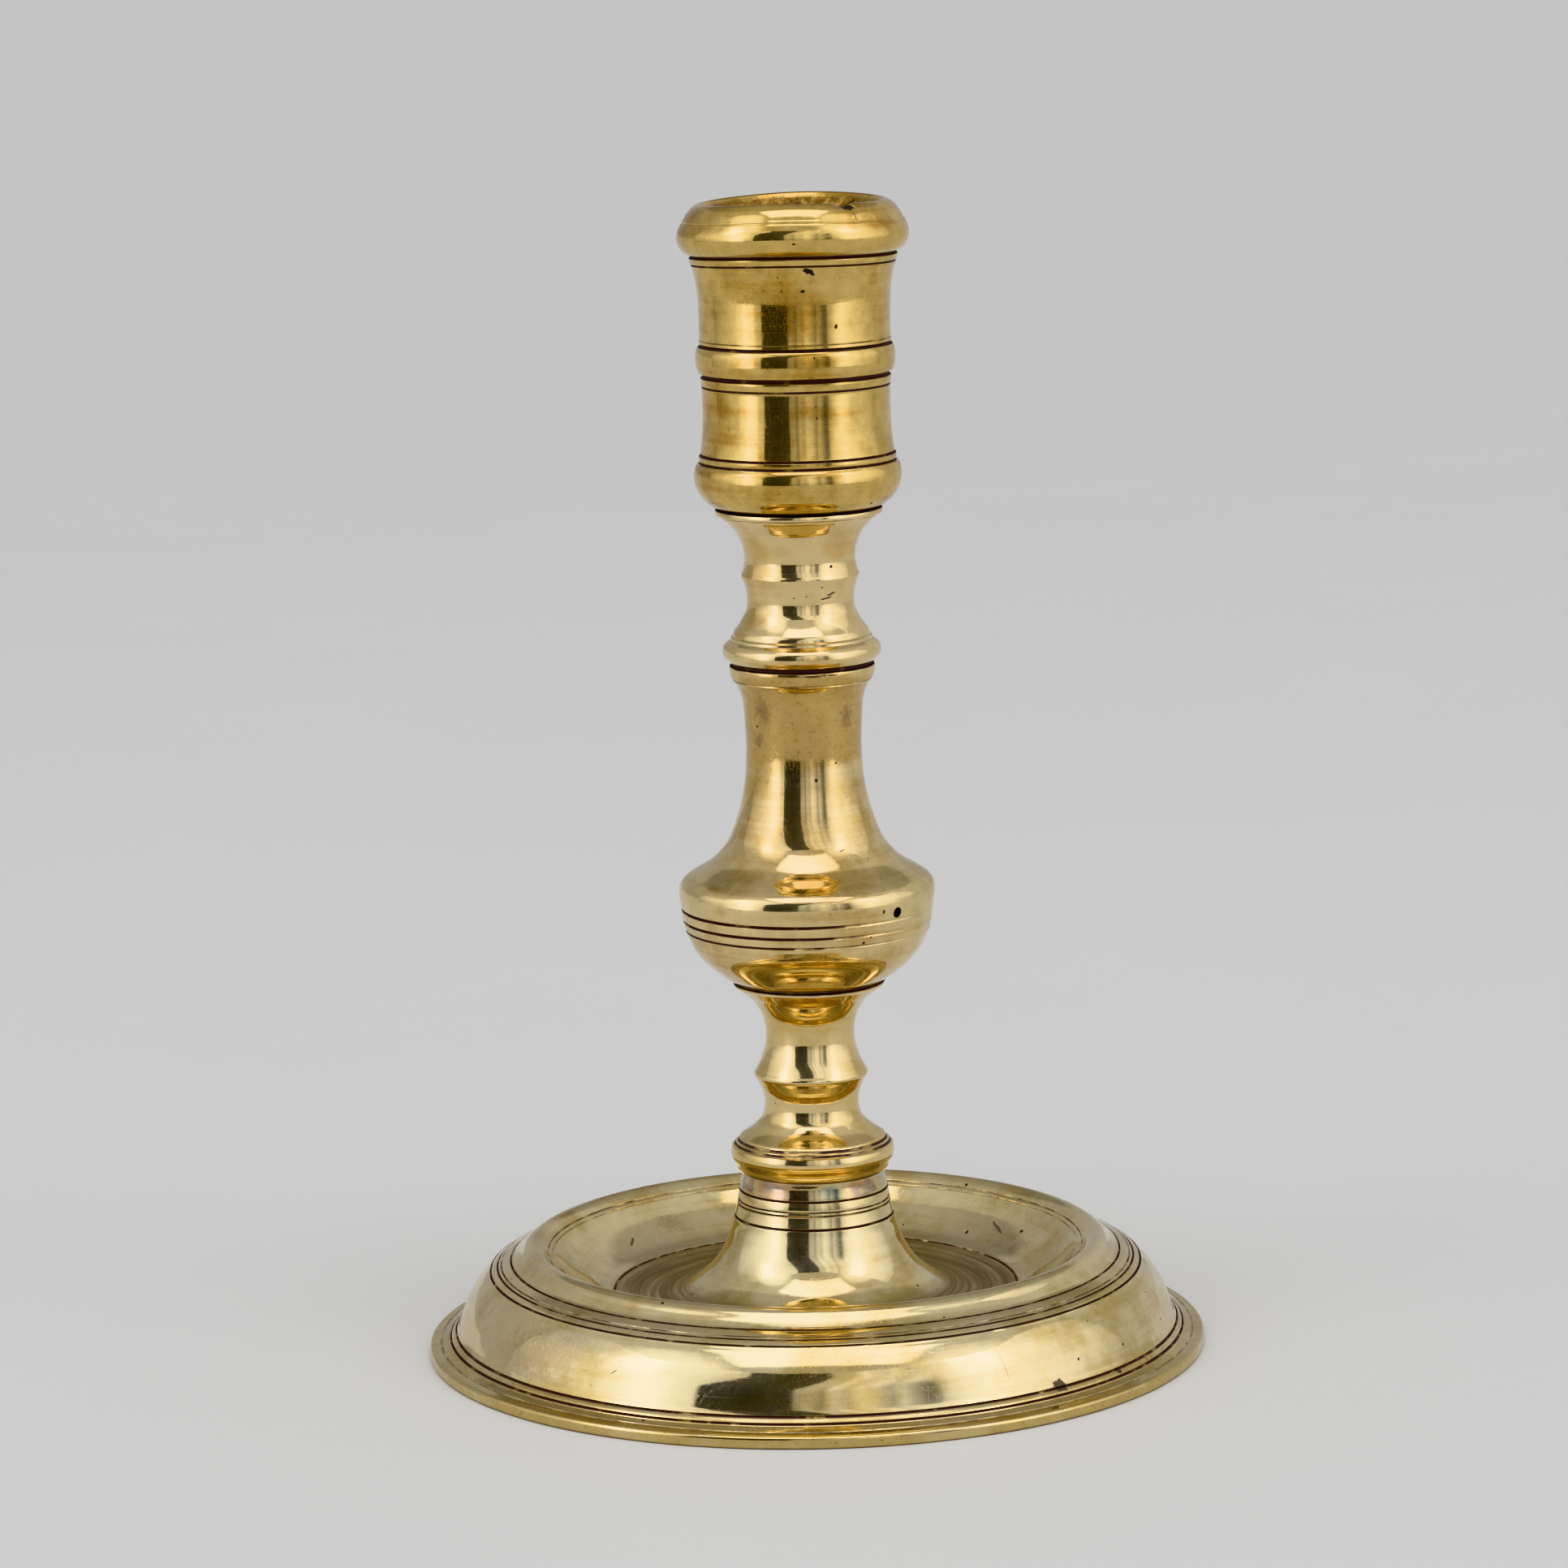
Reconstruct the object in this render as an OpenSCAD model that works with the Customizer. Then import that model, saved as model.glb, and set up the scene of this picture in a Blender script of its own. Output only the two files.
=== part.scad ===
// Turned brass candlestick: a cast foot with a drip well, a stem of three
// turned sections, and a candle socket, all drawn together by one iron rod.
// The origin is on the bench, on the axis of the stick.

/* [Foot] */
// Diameter over the flange that stands on the bench
foot_d = 119.2; // [118:0.2:124]
// Height of the neck's seat above the bench
foot_h = 27.4; // [27:0.1:29]
// Radius of the rounded rim's crest
crest_r = 43.2; // [43:0.1:44]
// Height of the rounded rim's crest above the bench
crest_h = 16.85; // [16.6:0.05:17.4]
// Radius of the drip well's flat floor
well_r = 30.9; // [30:0.1:31.5]
// Height of the drip well's floor above the bench
well_h = 8.4; // [8.2:0.1:8.8]

/* [Stem] */
// Height of the spool between the foot and the baluster
lower_stem_h = 29.5; // [29.5:0.1:33]
// Radius of the spool's collar on the foot
collar_r = 12.55; // [12.4:0.05:13]
// Height of the hollow baluster
baluster_h = 48.8; // [48.8:0.1:54]
// Greatest radius of the baluster
belly_r = 19.5; // [19.4:0.05:20.5]
// Radius of the baluster's waist
waist_r = 8.8; // [8.6:0.05:9]
// Height of the spool between the baluster and the socket
upper_stem_h = 23.7; // [23.7:0.1:26]
// Radius of the spool's bead
bead_r = 12.05; // [12:0.05:12.5]

/* [Candle socket] */
// Height of the socket with its foot moulding
socket_h = 46.6; // [46.6:0.1:50]
// Bore that takes a 22 mm candle
socket_bore_d = 22.8; // [22:0.1:23]
// Thickness of the socket's floor above its seat
socket_floor = 10; // [9:0.5:12]
// Radius of the rounded band below the lip
lip_band_r = 17.45; // [17.3:0.05:18]

/* [Joints] */
// Diameter of the iron tie rod
rod_d = 5; // [4.6:0.1:5.4]
// Diameter of the clearance hole for the rod
rod_hole_d = 5.8; // [5.6:0.1:6]
// Diameter of the wide spigots, at the foot and the socket
wide_spigot_d = 12; // [11:0.5:12]
// Diameter of the narrow spigots, at the baluster's ends
narrow_spigot_d = 10; // [9:0.5:10]
// Length of every spigot
spigot_l = 4; // [3:0.5:4]
// Radial gap round every spigot
spigot_gap = 0.05; // [0.03:0.01:0.1]
// Across flats of the square nut
nut_af = 9; // [8:0.5:10]
// Thickness of the square nut
nut_h = 3.6; // [3:0.2:4]
// Diameter of the washer
washer_d = 13; // [12:0.5:14]
// Diameter of the two core-pin holes in the baluster
core_hole_d = 1.6; // [1.2:0.1:2]
// Bearing of the core-pin hole that has lost its plug, from +X
core_hole_bearing = -46; // [-60:1:-30]

/* [Hidden] */
$fn = 96;

foot_r = foot_d / 2;
lower_stem_z = foot_h;
baluster_z = lower_stem_z + lower_stem_h;
upper_stem_z = baluster_z + baluster_h;
socket_z = upper_stem_z + upper_stem_h;
total_h = socket_z + socket_h;

spigot_clear = 0.3;            // space left below the end of a spigot
line_depth = 0.16;             // fine turned line
groove_depth = 0.35;           // bold turned groove
boss_z = 18.2;                 // underside of the foot's solid neck
washer_h = 1.4;
rod_tail = 2.6;                // rod shown past the nut
rod_head_d = 9.2;
rod_head_h = 2.2;
head_recess_d = 9.8;           // counterbore in the socket's floor
head_recess_h = 2.5;
mouth_l = 4;                   // depth over which the mouth opens out
mouth_r = 13;
slot_w = 1;
slot_depth = 1;
thread_pitch = 1;
thread_depth = 0.3;
thread_rings = 9;
core_hole_z = baluster_z + 12.8;
plug_gap = 0.03;
plug_l = 3.2;
rod_head_z = socket_z + socket_floor - head_recess_h;
rod_end_z = boss_z - washer_h - nut_h - rod_tail;

brass = "#CBAE68";
plug_brass = "#B9964F";
iron = "#4C4743";

// ---- turned outlines: every point is [radius, height] ----

// Smooth curve through hand-picked points, ending on the first and last.
function smooth(p, n = 5) = [
    for (i = [0 : len(p) - 2])
        let (a = p[max(i - 1, 0)], b = p[i], c = p[i + 1], d = p[min(i + 2, len(p) - 1)])
            for (s = [0 : n - 1])
                let (t = s / n)
                    0.5 * (2 * b + (c - a) * t + (2 * a - 5 * b + 4 * c - d) * t * t
                           + (3 * b - a - 3 * c + d) * t * t * t),
    p[len(p) - 1]
];

// V-shaped line or groove cut square to a surface that runs from a to b.
function groove(a, b, depth) =
    let (run = b - a, len = norm(run), inward = [-run[1], run[0]] / len)
        [a, (a + b) / 2 + depth * inward, b];

// Round corner about a centre, from one bearing to another.
function corner(centre, r, from, to, n = 5) = [
    for (i = [0 : n]) let (a = from + (to - from) * i / n)
        centre + r * [cos(a), sin(a)]
];

// The same outline standing on a seat.
function raised(outline, z) = [for (p = outline) [p[0], z + p[1]]];

module turned(outline) {
    rotate_extrude() polygon(outline);
}

// Hole on the axis, cut a little past both of its ends.
module axial_hole(d, z0, z1, over = 0.01) {
    translate([0, 0, z0 - over]) cylinder(d = d, h = z1 - z0 + 2 * over);
}

// Recess that receives a spigot from above.
module recess_down(d, seat_z) {
    axial_hole(d + 2 * spigot_gap, seat_z - spigot_l - spigot_clear, seat_z);
}

// Recess that receives a spigot from below.
module recess_up(d, seat_z) {
    axial_hole(d + 2 * spigot_gap, seat_z, seat_z + spigot_l + spigot_clear);
}

// ---- the foot ----

flange_edge = concat(
    corner([foot_r - 0.5, 0.5], 0.5, -90, 0),
    corner([foot_r - 0.6, 1.35], 0.6, 0, 90),
    groove([foot_r - 1.7, 2.1], [foot_r - 2.1, 2.25], line_depth),
    [[foot_r - 3, 2.6]]
);

foot_wall = concat(
    groove([foot_r - 3, 2.7], [foot_r - 3.4, 3.1], groove_depth),
    [[foot_r - 3.7, 3.45]],
    groove([foot_r - 3.9, 3.55], [foot_r - 4.3, 3.95], groove_depth),
    smooth([[foot_r - 4.6, 4.5], [foot_r - 5.2, 6.2], [foot_r - 6, 8.1],
            [foot_r - 7.2, 10.1], [foot_r - 8.5, 11.7], [foot_r - 9.3, 12.45]])
);

rim_steps = concat(
    groove([crest_r + 7, 12.65], [crest_r + 6.6, 12.9], groove_depth),
    groove([crest_r + 5.9, 13.35], [crest_r + 5.5, 13.55], groove_depth),
    groove([crest_r + 5.2, 13.68], [crest_r + 5, 13.77], line_depth),
    groove([crest_r + 3.8, 14.3], [crest_r + 3.4, 14.5], groove_depth)
);

rim_crest = concat(
    smooth([[crest_r + 3.1, crest_h - 2.25], [crest_r + 2.1, crest_h - 1.4],
            [crest_r + 1.2, crest_h - 0.45], [crest_r, crest_h],
            [crest_r - 1.1, crest_h - 0.35], [crest_r - 2, crest_h - 1.05]]),
    groove([crest_r - 2.1, crest_h - 1.15], [crest_r - 2.3, crest_h - 1.3], line_depth),
    groove([crest_r - 2.7, crest_h - 1.6], [crest_r - 2.9, crest_h - 1.78], line_depth)
);

drip_well = concat(
    smooth([[crest_r - 3.2, crest_h - 2.05], [crest_r - 5.2, crest_h - 4],
            [crest_r - 7.5, crest_h - 5.75], [well_r + 2.6, well_h + 1.4],
            [well_r + 0.4, well_h + 0.75]]),
    groove([well_r + 0.2, well_h + 0.7], [well_r - 0.2, well_h + 0.5], line_depth),
    smooth([[well_r - 0.6, well_h + 0.42], [well_r - 3.4, well_h + 0.06],
            [well_r - 6.4, well_h - 0.02], [well_r - 9, well_h + 0.42],
            [20.1, 9.5], [17.4, 11.25], [15.4, 13.2], [13.75, 15.9], [12.7, 18.8],
            [12.35, 20.2]])
);

foot_neck = concat(
    groove([12.3, 20.35], [12.2, 20.7], groove_depth),
    groove([11.8, 22.4], [11.77, 22.6], line_depth),
    groove([11.7, 22.95], [11.67, 23.15], line_depth),
    groove([11.48, 24.5], [11.4, 24.85], groove_depth),
    smooth([[11.2, 25.4], [11, foot_h - 1], [10.95, foot_h]])
);

// Underside of the casting, from the neck's boss out to the bench.
foot_hollow = concat(
    [[0, -1], [0, boss_z], [9.4, boss_z]],
    smooth([[10.2, boss_z - 0.8], [11.2, 16], [12.3, 13.6], [14, 11.2], [16, 9.2],
            [18.5, 7.5], [21.8, 6.3], [well_r - 5.5, well_h - 2.4],
            [well_r + 0.6, well_h - 1.9], [well_r + 4, well_h - 0.5],
            [crest_r - 5.2, well_h + 2.1], [crest_r - 2.7, crest_h - 3.6],
            [crest_r - 0.4, crest_h - 2.6], [crest_r + 1.6, crest_h - 3.5],
            [crest_r + 4.6, 12], [foot_r - 10.6, 10.5], [foot_r - 8.5, 8],
            [foot_r - 7.4, 5], [foot_r - 6.2, 1.6]]),
    [[foot_r - 5.2, 0], [foot_r - 5.2, -1]]
);

module foot() {
    color(brass) difference() {
        turned(concat([[0, 0]], flange_edge, foot_wall, rim_steps, rim_crest,
                      drip_well, foot_neck, [[0, foot_h]]));
        turned(foot_hollow);
        axial_hole(rod_hole_d, boss_z, foot_h);
        recess_down(wide_spigot_d, foot_h);
    }
}

// ---- the spool on the foot ----

lower_spool = concat(
    [[0, 0], [collar_r - 1.65, 0], [collar_r - 1.05, 0.35]],
    smooth([[collar_r - 0.75, 1.25], [collar_r - 0.1, 2.3], [collar_r, 3.2],
            [collar_r - 0.2, 4.05]]),
    groove([collar_r - 0.55, 4.3], [collar_r - 0.75, 4.6], line_depth),
    groove([collar_r - 1.1, 4.8], [collar_r - 1.3, 5.2], line_depth),
    smooth([[11, 5.5], [9.55, 6.45], [8.4, 7.5], [7.6, 8.6], [7.2, 10.5],
            [7.5, 12.5], [8.1, 13.9], [8.5, 14.6]]),
    [[8.7, 14.95], [8.68, 15.45]],
    smooth([[8.45, 15.75], [7.6, 17.5], [6.95, 19.6], [6.78, 21.3], [6.87, 22.7],
            [7.45, lower_stem_h - 4.8], [8.75, lower_stem_h - 2.8],
            [10, lower_stem_h - 1.7], [11.2, lower_stem_h - 0.75]]),
    [[11.6, lower_stem_h - 0.55], [11.6, lower_stem_h - 0.1], [11.4, lower_stem_h],
     [0, lower_stem_h]]
);

module lower_stem() {
    color(brass) difference() {
        union() {
            turned(raised(lower_spool, lower_stem_z));
            translate([0, 0, lower_stem_z - spigot_l])
                cylinder(d = wide_spigot_d, h = spigot_l + 1);
            translate([0, 0, baluster_z - 1])
                cylinder(d = narrow_spigot_d, h = spigot_l + 1);
        }
        axial_hole(rod_hole_d, lower_stem_z - spigot_l, baluster_z + spigot_l);
    }
}

// ---- the hollow baluster ----

baluster_bowl = concat(
    [[0, 0], [11.3, 0], [11.6, 0.3]],
    smooth([[12.1, 0.5], [13.6, 1.5], [15.8, 3.4], [17.3, 5.3], [18.35, 7.5], [18.6, 8.2]]),
    groove([18.62, 8.25], [18.7, 8.55], line_depth),
    groove([18.97, 9.75], [19.03, 10.05], groove_depth),
    groove([19.2, 11.5], [19.24, 11.8], groove_depth),
    smooth([[19.28, 12.2], [belly_r - 0.03, 13.3], [belly_r, 14.4],
            [belly_r - 0.25, 15.45], [18.45, 16.35], [17, 17.3], [15.3, 18.3],
            [13.9, 19.4], [12.2, 21.35], [11.15, 23.4], [9.85, 27.3],
            [waist_r + 0.28, 31.4], [waist_r, 36], [waist_r + 0.1, 39.6]])
);

baluster_lip = smooth([[waist_r + 0.25, baluster_h - 6.6], [waist_r + 0.45, baluster_h - 5],
                       [9.8, baluster_h - 3.5], [10.35, baluster_h - 2.5]]);

// Space that the sand core left inside the baluster.
baluster_hollow = concat(
    [[0, 6.4], [9, 6.4]],
    smooth([[11.5, 6.9], [14.4, 8.6], [16, 11], [belly_r - 3, 13.6], [15.4, 15.2],
            [12.6, 17], [10.4, 19], [8.6, 22], [7.2, 26], [6.2, 31], [5.8, 36],
            [5.8, baluster_h - 7]]),
    [[4.4, baluster_h - 5.8], [0, baluster_h - 5.8]]
);

module core_hole(bearing) {
    translate([0, 0, core_hole_z]) rotate([0, 90, bearing])
        translate([0, 0, 10]) cylinder(d = core_hole_d, h = 12, $fn = 32);
}

module baluster() {
    color(brass) difference() {
        turned(raised(concat(baluster_bowl, baluster_lip,
            groove([10.6, baluster_h - 2.3], [10.75, baluster_h - 2], line_depth),
            [[10.9, baluster_h - 1.6], [11.05, baluster_h - 0.9],
             [11.05, baluster_h - 0.15], [10.9, baluster_h], [0, baluster_h]]),
            baluster_z));
        turned(raised(baluster_hollow, baluster_z));
        axial_hole(rod_hole_d, baluster_z, upper_stem_z);
        recess_up(narrow_spigot_d, baluster_z);
        recess_down(narrow_spigot_d, upper_stem_z);
        core_hole(core_hole_bearing);
        core_hole(core_hole_bearing + 180);
    }
}

// Brass pin filed off flush in the core-pin hole behind.
module core_plug() {
    color(plug_brass) translate([0, 0, core_hole_z])
        rotate([0, 90, core_hole_bearing + 180])
            translate([0, 0, belly_r - 0.15 - plug_l])
                cylinder(d = core_hole_d - 2 * plug_gap, h = plug_l, $fn = 32);
}

// ---- the spool under the socket ----

upper_spool = concat(
    [[0, 0], [11, 0], [11.2, 0.25]],
    smooth([[11.35, 0.8], [bead_r - 0.1, 1.5], [bead_r, 2.2], [bead_r - 0.15, 2.9],
            [bead_r - 0.7, 3.5]]),
    [[10.9, 3.75], [10.75, 4], [10.75, 4.3], [10.4, 4.45], [10.4, 4.85]],
    smooth([[10.1, 5.4], [9.4, 6.3], [8.8, 7.3], [8.3, 8.4], [8.1, 9.8], [8.25, 11.3],
            [8.5, 12.4], [8.75, 13.1]]),
    [[8.95, 13.4], [8.95, 13.8]],
    smooth([[8.8, 14.1], [8.5, 15.2], [8.4, 16.3], [8.7, upper_stem_h - 5.5],
            [9.6, upper_stem_h - 3.5], [10.4, upper_stem_h - 2.5],
            [11.3, upper_stem_h - 1.6]]),
    [[11.9, upper_stem_h - 1.2], [11.9, upper_stem_h - 0.9], [12.55, upper_stem_h - 0.8],
     [12.7, upper_stem_h - 0.6], [12.7, upper_stem_h - 0.15], [12.5, upper_stem_h],
     [0, upper_stem_h]]
);

module upper_stem() {
    color(brass) difference() {
        union() {
            turned(raised(upper_spool, upper_stem_z));
            translate([0, 0, upper_stem_z - spigot_l])
                cylinder(d = narrow_spigot_d, h = spigot_l + 1);
            translate([0, 0, socket_z - 1])
                cylinder(d = wide_spigot_d, h = spigot_l + 1);
        }
        axial_hole(rod_hole_d, upper_stem_z - spigot_l, socket_z + spigot_l);
    }
}

// ---- the candle socket ----

socket_base = concat(
    [[0, 0], [11.4, 0], [11.4, 0.45], [12.9, 0.45]],
    smooth([[13.3, 0.6], [14.25, 1.5], [15.05, 2.6], [15.55, 4], [15.68, 5.3],
            [15.5, 6.4], [15.15, 7]]),
    groove([14.9, 7.1], [14.9, 7.4], groove_depth),
    groove([14.85, 8.25], [14.65, 8.55], groove_depth)
);

socket_barrel = concat(
    smooth([[14.6, 8.7], [14.35, 11], [14.18, 14], [14.18, 18.2]]),
    groove([14.2, 18.45], [14.25, 18.75], line_depth),
    groove([14.4, 20], [14.4, 20.55], groove_depth),
    smooth([[14.7, 20.7], [15, 21.7], [15.07, 22.8], [15, 23.9], [14.75, 24.55]]),
    groove([14.6, 24.6], [14.5, 24.95], groove_depth),
    groove([14.47, 25.5], [14.46, 25.7], line_depth),
    smooth([[14.43, 26.2], [14.42, 28.5], [14.5, 32], [14.8, 34.9], [15.2, 36.7]])
);

socket_lip = concat(
    groove([15.35, 37], [15.42, 37.25], line_depth),
    [[15.6, 37.45]],
    groove([15.65, 38.3], [15.7, 38.7], groove_depth),
    smooth([[16, 38.8], [16.75, 39.5], [lip_band_r - 0.2, 40.5], [lip_band_r, 41.5],
            [lip_band_r - 0.15, 42.5], [lip_band_r - 0.6, socket_h - 3.1]]),
    groove([16.7, socket_h - 2.9], [16.55, socket_h - 2.6], line_depth),
    smooth([[16.4, socket_h - 2.35], [15.7, socket_h - 1.3], [14.9, socket_h - 0.5],
            [14.2, socket_h - 0.1], [13.5, socket_h]])
);

module socket() {
    color(brass) difference() {
        turned(raised(concat(socket_base, socket_barrel, socket_lip, [[0, socket_h]]),
                      socket_z));
        axial_hole(socket_bore_d, socket_z + socket_floor, total_h);
        turned(raised([[0, socket_h - mouth_l], [socket_bore_d / 2, socket_h - mouth_l],
                       [socket_bore_d / 2 + 0.5, socket_h - 1.6], [mouth_r - 0.5, socket_h - 0.5],
                       [mouth_r, socket_h + 0.01], [0, socket_h + 0.01]], socket_z));
        axial_hole(rod_hole_d, socket_z, socket_z + socket_floor);
        axial_hole(head_recess_d, rod_head_z, socket_z + socket_floor);
        recess_up(wide_spigot_d, socket_z);
    }
}

// ---- the rod that draws the stick together ----

module tie_rod() {
    color(iron) difference() {
        union() {
            translate([0, 0, rod_end_z + 0.5])
                cylinder(d = rod_d, h = rod_head_z - rod_end_z);
            translate([0, 0, rod_end_z])
                cylinder(d1 = rod_d - 2 * thread_depth, d2 = rod_d, h = 0.5);
            turned([[0, rod_head_z], [rod_head_d / 2, rod_head_z],
                    [rod_head_d / 2, rod_head_z + rod_head_h - 0.5],
                    [rod_head_d / 2 - 0.5, rod_head_z + rod_head_h],
                    [0, rod_head_z + rod_head_h]]);
        }
        for (i = [0 : thread_rings - 1]) let (z = rod_end_z + 1 + i * thread_pitch)
            turned([[rod_d / 2 - thread_depth, z + thread_pitch / 2],
                    [rod_d / 2 + 0.1, z + 0.1], [rod_d / 2 + 0.1, z + thread_pitch - 0.1]]);
        translate([-rod_head_d, -slot_w / 2, rod_head_z + rod_head_h - slot_depth])
            cube([2 * rod_head_d, slot_w, slot_depth + 1]);
    }
}

module rod_washer() {
    color(iron) difference() {
        axial_hole(washer_d, boss_z - washer_h, boss_z, over = 0);
        axial_hole(rod_hole_d, boss_z - washer_h, boss_z);
    }
}

module rod_nut() {
    nut_z = boss_z - washer_h - nut_h;
    color(iron) difference() {
        translate([-nut_af / 2, -nut_af / 2, nut_z]) cube([nut_af, nut_af, nut_h]);
        axial_hole(rod_d + 0.1, nut_z, nut_z + nut_h);
    }
}

foot();
lower_stem();
baluster();
core_plug();
upper_stem();
socket();
tie_rod();
rod_washer();
rod_nut();
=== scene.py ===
"""A turned brass candlestick, cast in sections and drawn together by an iron rod."""

import logging
import math
from collections.abc import Callable, Sequence
from dataclasses import dataclass
from enum import Enum
from typing import Any, NamedTuple

import bpy
from mathutils import Matrix, Vector
from mathutils.kdtree import KDTree


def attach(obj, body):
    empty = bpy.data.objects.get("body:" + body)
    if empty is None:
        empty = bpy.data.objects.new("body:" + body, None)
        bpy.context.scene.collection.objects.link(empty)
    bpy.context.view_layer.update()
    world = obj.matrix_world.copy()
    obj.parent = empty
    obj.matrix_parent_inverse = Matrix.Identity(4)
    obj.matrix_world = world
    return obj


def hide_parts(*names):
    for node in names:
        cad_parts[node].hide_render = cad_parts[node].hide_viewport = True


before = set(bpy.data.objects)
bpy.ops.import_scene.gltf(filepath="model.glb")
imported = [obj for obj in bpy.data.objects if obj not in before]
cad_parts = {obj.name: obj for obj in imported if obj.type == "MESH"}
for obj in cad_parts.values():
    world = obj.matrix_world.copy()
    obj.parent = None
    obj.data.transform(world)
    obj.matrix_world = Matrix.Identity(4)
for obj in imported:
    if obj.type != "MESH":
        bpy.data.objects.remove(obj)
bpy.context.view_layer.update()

MM = 0.001
TAU = 2 * math.pi
BODY = "root"

log = logging.getLogger("candlestick")

Point = tuple[float, float]
Point3 = tuple[float, float, float]
Value = Any             # a plain value, or a node's output that carries one

# A turned line's section: share of its width, share of its depth and share of its wax.
LINE_SECTION = ((-0.1, 0.0, 0.0), (0.02, 0.05, 0.5), (0.16, 0.5, 1.0), (0.38, 1.0, 1.0),
                (0.62, 1.0, 1.0), (0.84, 0.5, 1.0), (0.98, 0.05, 0.5), (1.1, 0.0, 0.0))
WORN_FILL = 0.85        # share of a line's depth that goes with the last of its wax
LATHE_DRIFT = 0.03      # how far turning marks stray from true rings
MERGE_MM = 0.002        # stations closer than this are one
SMOOTH_DEG = 38         # an edge sharper than this stays crisp

ROD_HOLE_R = 2.9        # clearance hole down the middle of every section
SPIGOT_L = 4.0
RECESS_L = SPIGOT_L + 0.3
SPIGOT_GAP = 0.05
QUARTER = math.pi / 2


# ---------------------------------------------------------------- turned outlines


class Skin(Enum):
    """How a stretch of a casting's surface was left."""

    POLISHED = 0.0
    AS_CAST = 1.0


class Station(NamedTuple):
    """One point of a turned outline: radius and height in millimetres, and what lies there."""

    r: float
    z: float
    wax: float = 0.0
    skin: Skin = Skin.POLISHED
    cut: float = 0.0


Outline = list[Station]


def straight(points: Sequence[tuple[float, ...]], skin: Skin = Skin.POLISHED) -> Outline:
    """Stations joined by straight cuts, from radius and height in millimetres and any wax."""
    return [Station(*point)._replace(skin=skin) for point in points]


def sweep(points: Sequence[Point], steps: int = 7, skin: Skin = Skin.POLISHED) -> Outline:
    """A smooth curve through given points, ending on the first and the last.

    Args:
        points: Radius and height of each point, in millimetres.
        steps: Cuts between two points.
        skin: How the stretch was left.

    Returns:
        The stations along the curve.
    """
    stations: Outline = []
    last = len(points) - 1
    for i in range(last):
        before, here = points[max(i - 1, 0)], points[i]
        there, after = points[i + 1], points[min(i + 2, last)]
        for step in range(steps):
            t = step / steps
            r, z = (
                0.5 * (2 * b + (c - a) * t + (2 * a - 5 * b + 4 * c - d) * t**2
                       + (3 * b - a - 3 * c + d) * t**3)
                for a, b, c, d in zip(before, here, there, after)
            )
            stations.append(Station(r, z, 0.0, skin))
    stations.append(Station(*points[-1], 0.0, skin))
    return stations


def groove(start: Point, end: Point, depth: float, wax: float = 1.0) -> Outline:
    """A turned line with rounded lips, cut square to a surface.

    Args:
        start: Where the cut begins, radius and height in millimetres.
        end: Where it ends.
        depth: Depth of the cut in millimetres.
        wax: How much old polish it holds, from 0 to 1.

    Returns:
        The stations across the groove.
    """
    run = Vector(end) - Vector(start)
    inward = Vector((-run.y, run.x)).normalized()
    stations: Outline = []
    for along, down, dark in LINE_SECTION:
        place = Vector(start) + run * along + inward * depth * down
        stations.append(Station(place.x, place.y, dark * wax, Skin.POLISHED, depth * down))
    return stations


def corner(centre: Point, radius: float, start: float, end: float, steps: int = 8) -> Outline:
    """A round corner about a centre.

    Args:
        centre: Radius and height of the centre, in millimetres.
        radius: Radius of the corner in millimetres.
        start: Bearing of its first station, in degrees.
        end: Bearing of its last station, in degrees.
        steps: Cuts round the corner.

    Returns:
        The stations round the corner.
    """
    bearings = (math.radians(start + (end - start) * i / steps) for i in range(steps + 1))
    return [Station(centre[0] + radius * math.cos(a), centre[1] + radius * math.sin(a))
            for a in bearings]


def raised(outline: Outline, height: float) -> Outline:
    """The same outline, standing on a seat at a height in millimetres."""
    return [station._replace(z=station.z + height) for station in outline]


def peg(radius: float, seat: float, rise: float) -> Outline:
    """A spigot, or a recess for one, from its seat to the rod's hole at its end."""
    end = seat + rise
    return straight([(radius, seat), (radius, end), (ROD_HOLE_R, end)], Skin.AS_CAST)


# ---------------------------------------------------------------- mesh work


def choose(piece: bpy.types.Object) -> None:
    """Deselects everything and makes one piece the active one."""
    bpy.ops.object.select_all(action="DESELECT")
    piece.select_set(True)
    bpy.context.view_layer.objects.active = piece


def settle(piece: bpy.types.Object) -> None:
    """Puts a piece's place into its mesh, so that its object sits at the origin."""
    choose(piece)
    bpy.ops.object.transform_apply(location=True, rotation=True, scale=True)


def apply_modifier(piece: bpy.types.Object, kind: str, **settings: Any) -> None:
    """Adds a modifier to a piece and applies it at once.

    Args:
        piece: The piece to change.
        kind: Blender's name for the modifier.
        **settings: The modifier's settings.
    """
    choose(piece)
    modifier = piece.modifiers.new(kind.lower(), kind)
    for name, value in settings.items():
        setattr(modifier, name, value)
    bpy.ops.object.modifier_apply(modifier=modifier.name)


def primitive(kind: str, name: str, **settings: Any) -> bpy.types.Object:
    """Adds a mesh primitive.

    Args:
        kind: Blender's name for it: "cube", "plane" and so on.
        name: The object's name.
        **settings: The primitive's own settings.

    Returns:
        The new object, the only one selected.
    """
    bpy.ops.object.select_all(action="DESELECT")
    getattr(bpy.ops.mesh, f"primitive_{kind}_add")(**settings)
    bpy.context.object.name = name
    return bpy.context.object


def start_line(name: str, place: Point3) -> bpy.types.Object:
    """Makes a piece of one point and stays in Edit Mode, where its line is drawn from there."""
    piece = primitive("plane", name, size=MM, location=place)
    settle(piece)
    bpy.ops.object.mode_set(mode="EDIT")
    bpy.ops.mesh.select_all(action="SELECT")
    bpy.ops.mesh.merge(type="CENTER")
    return piece


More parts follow.
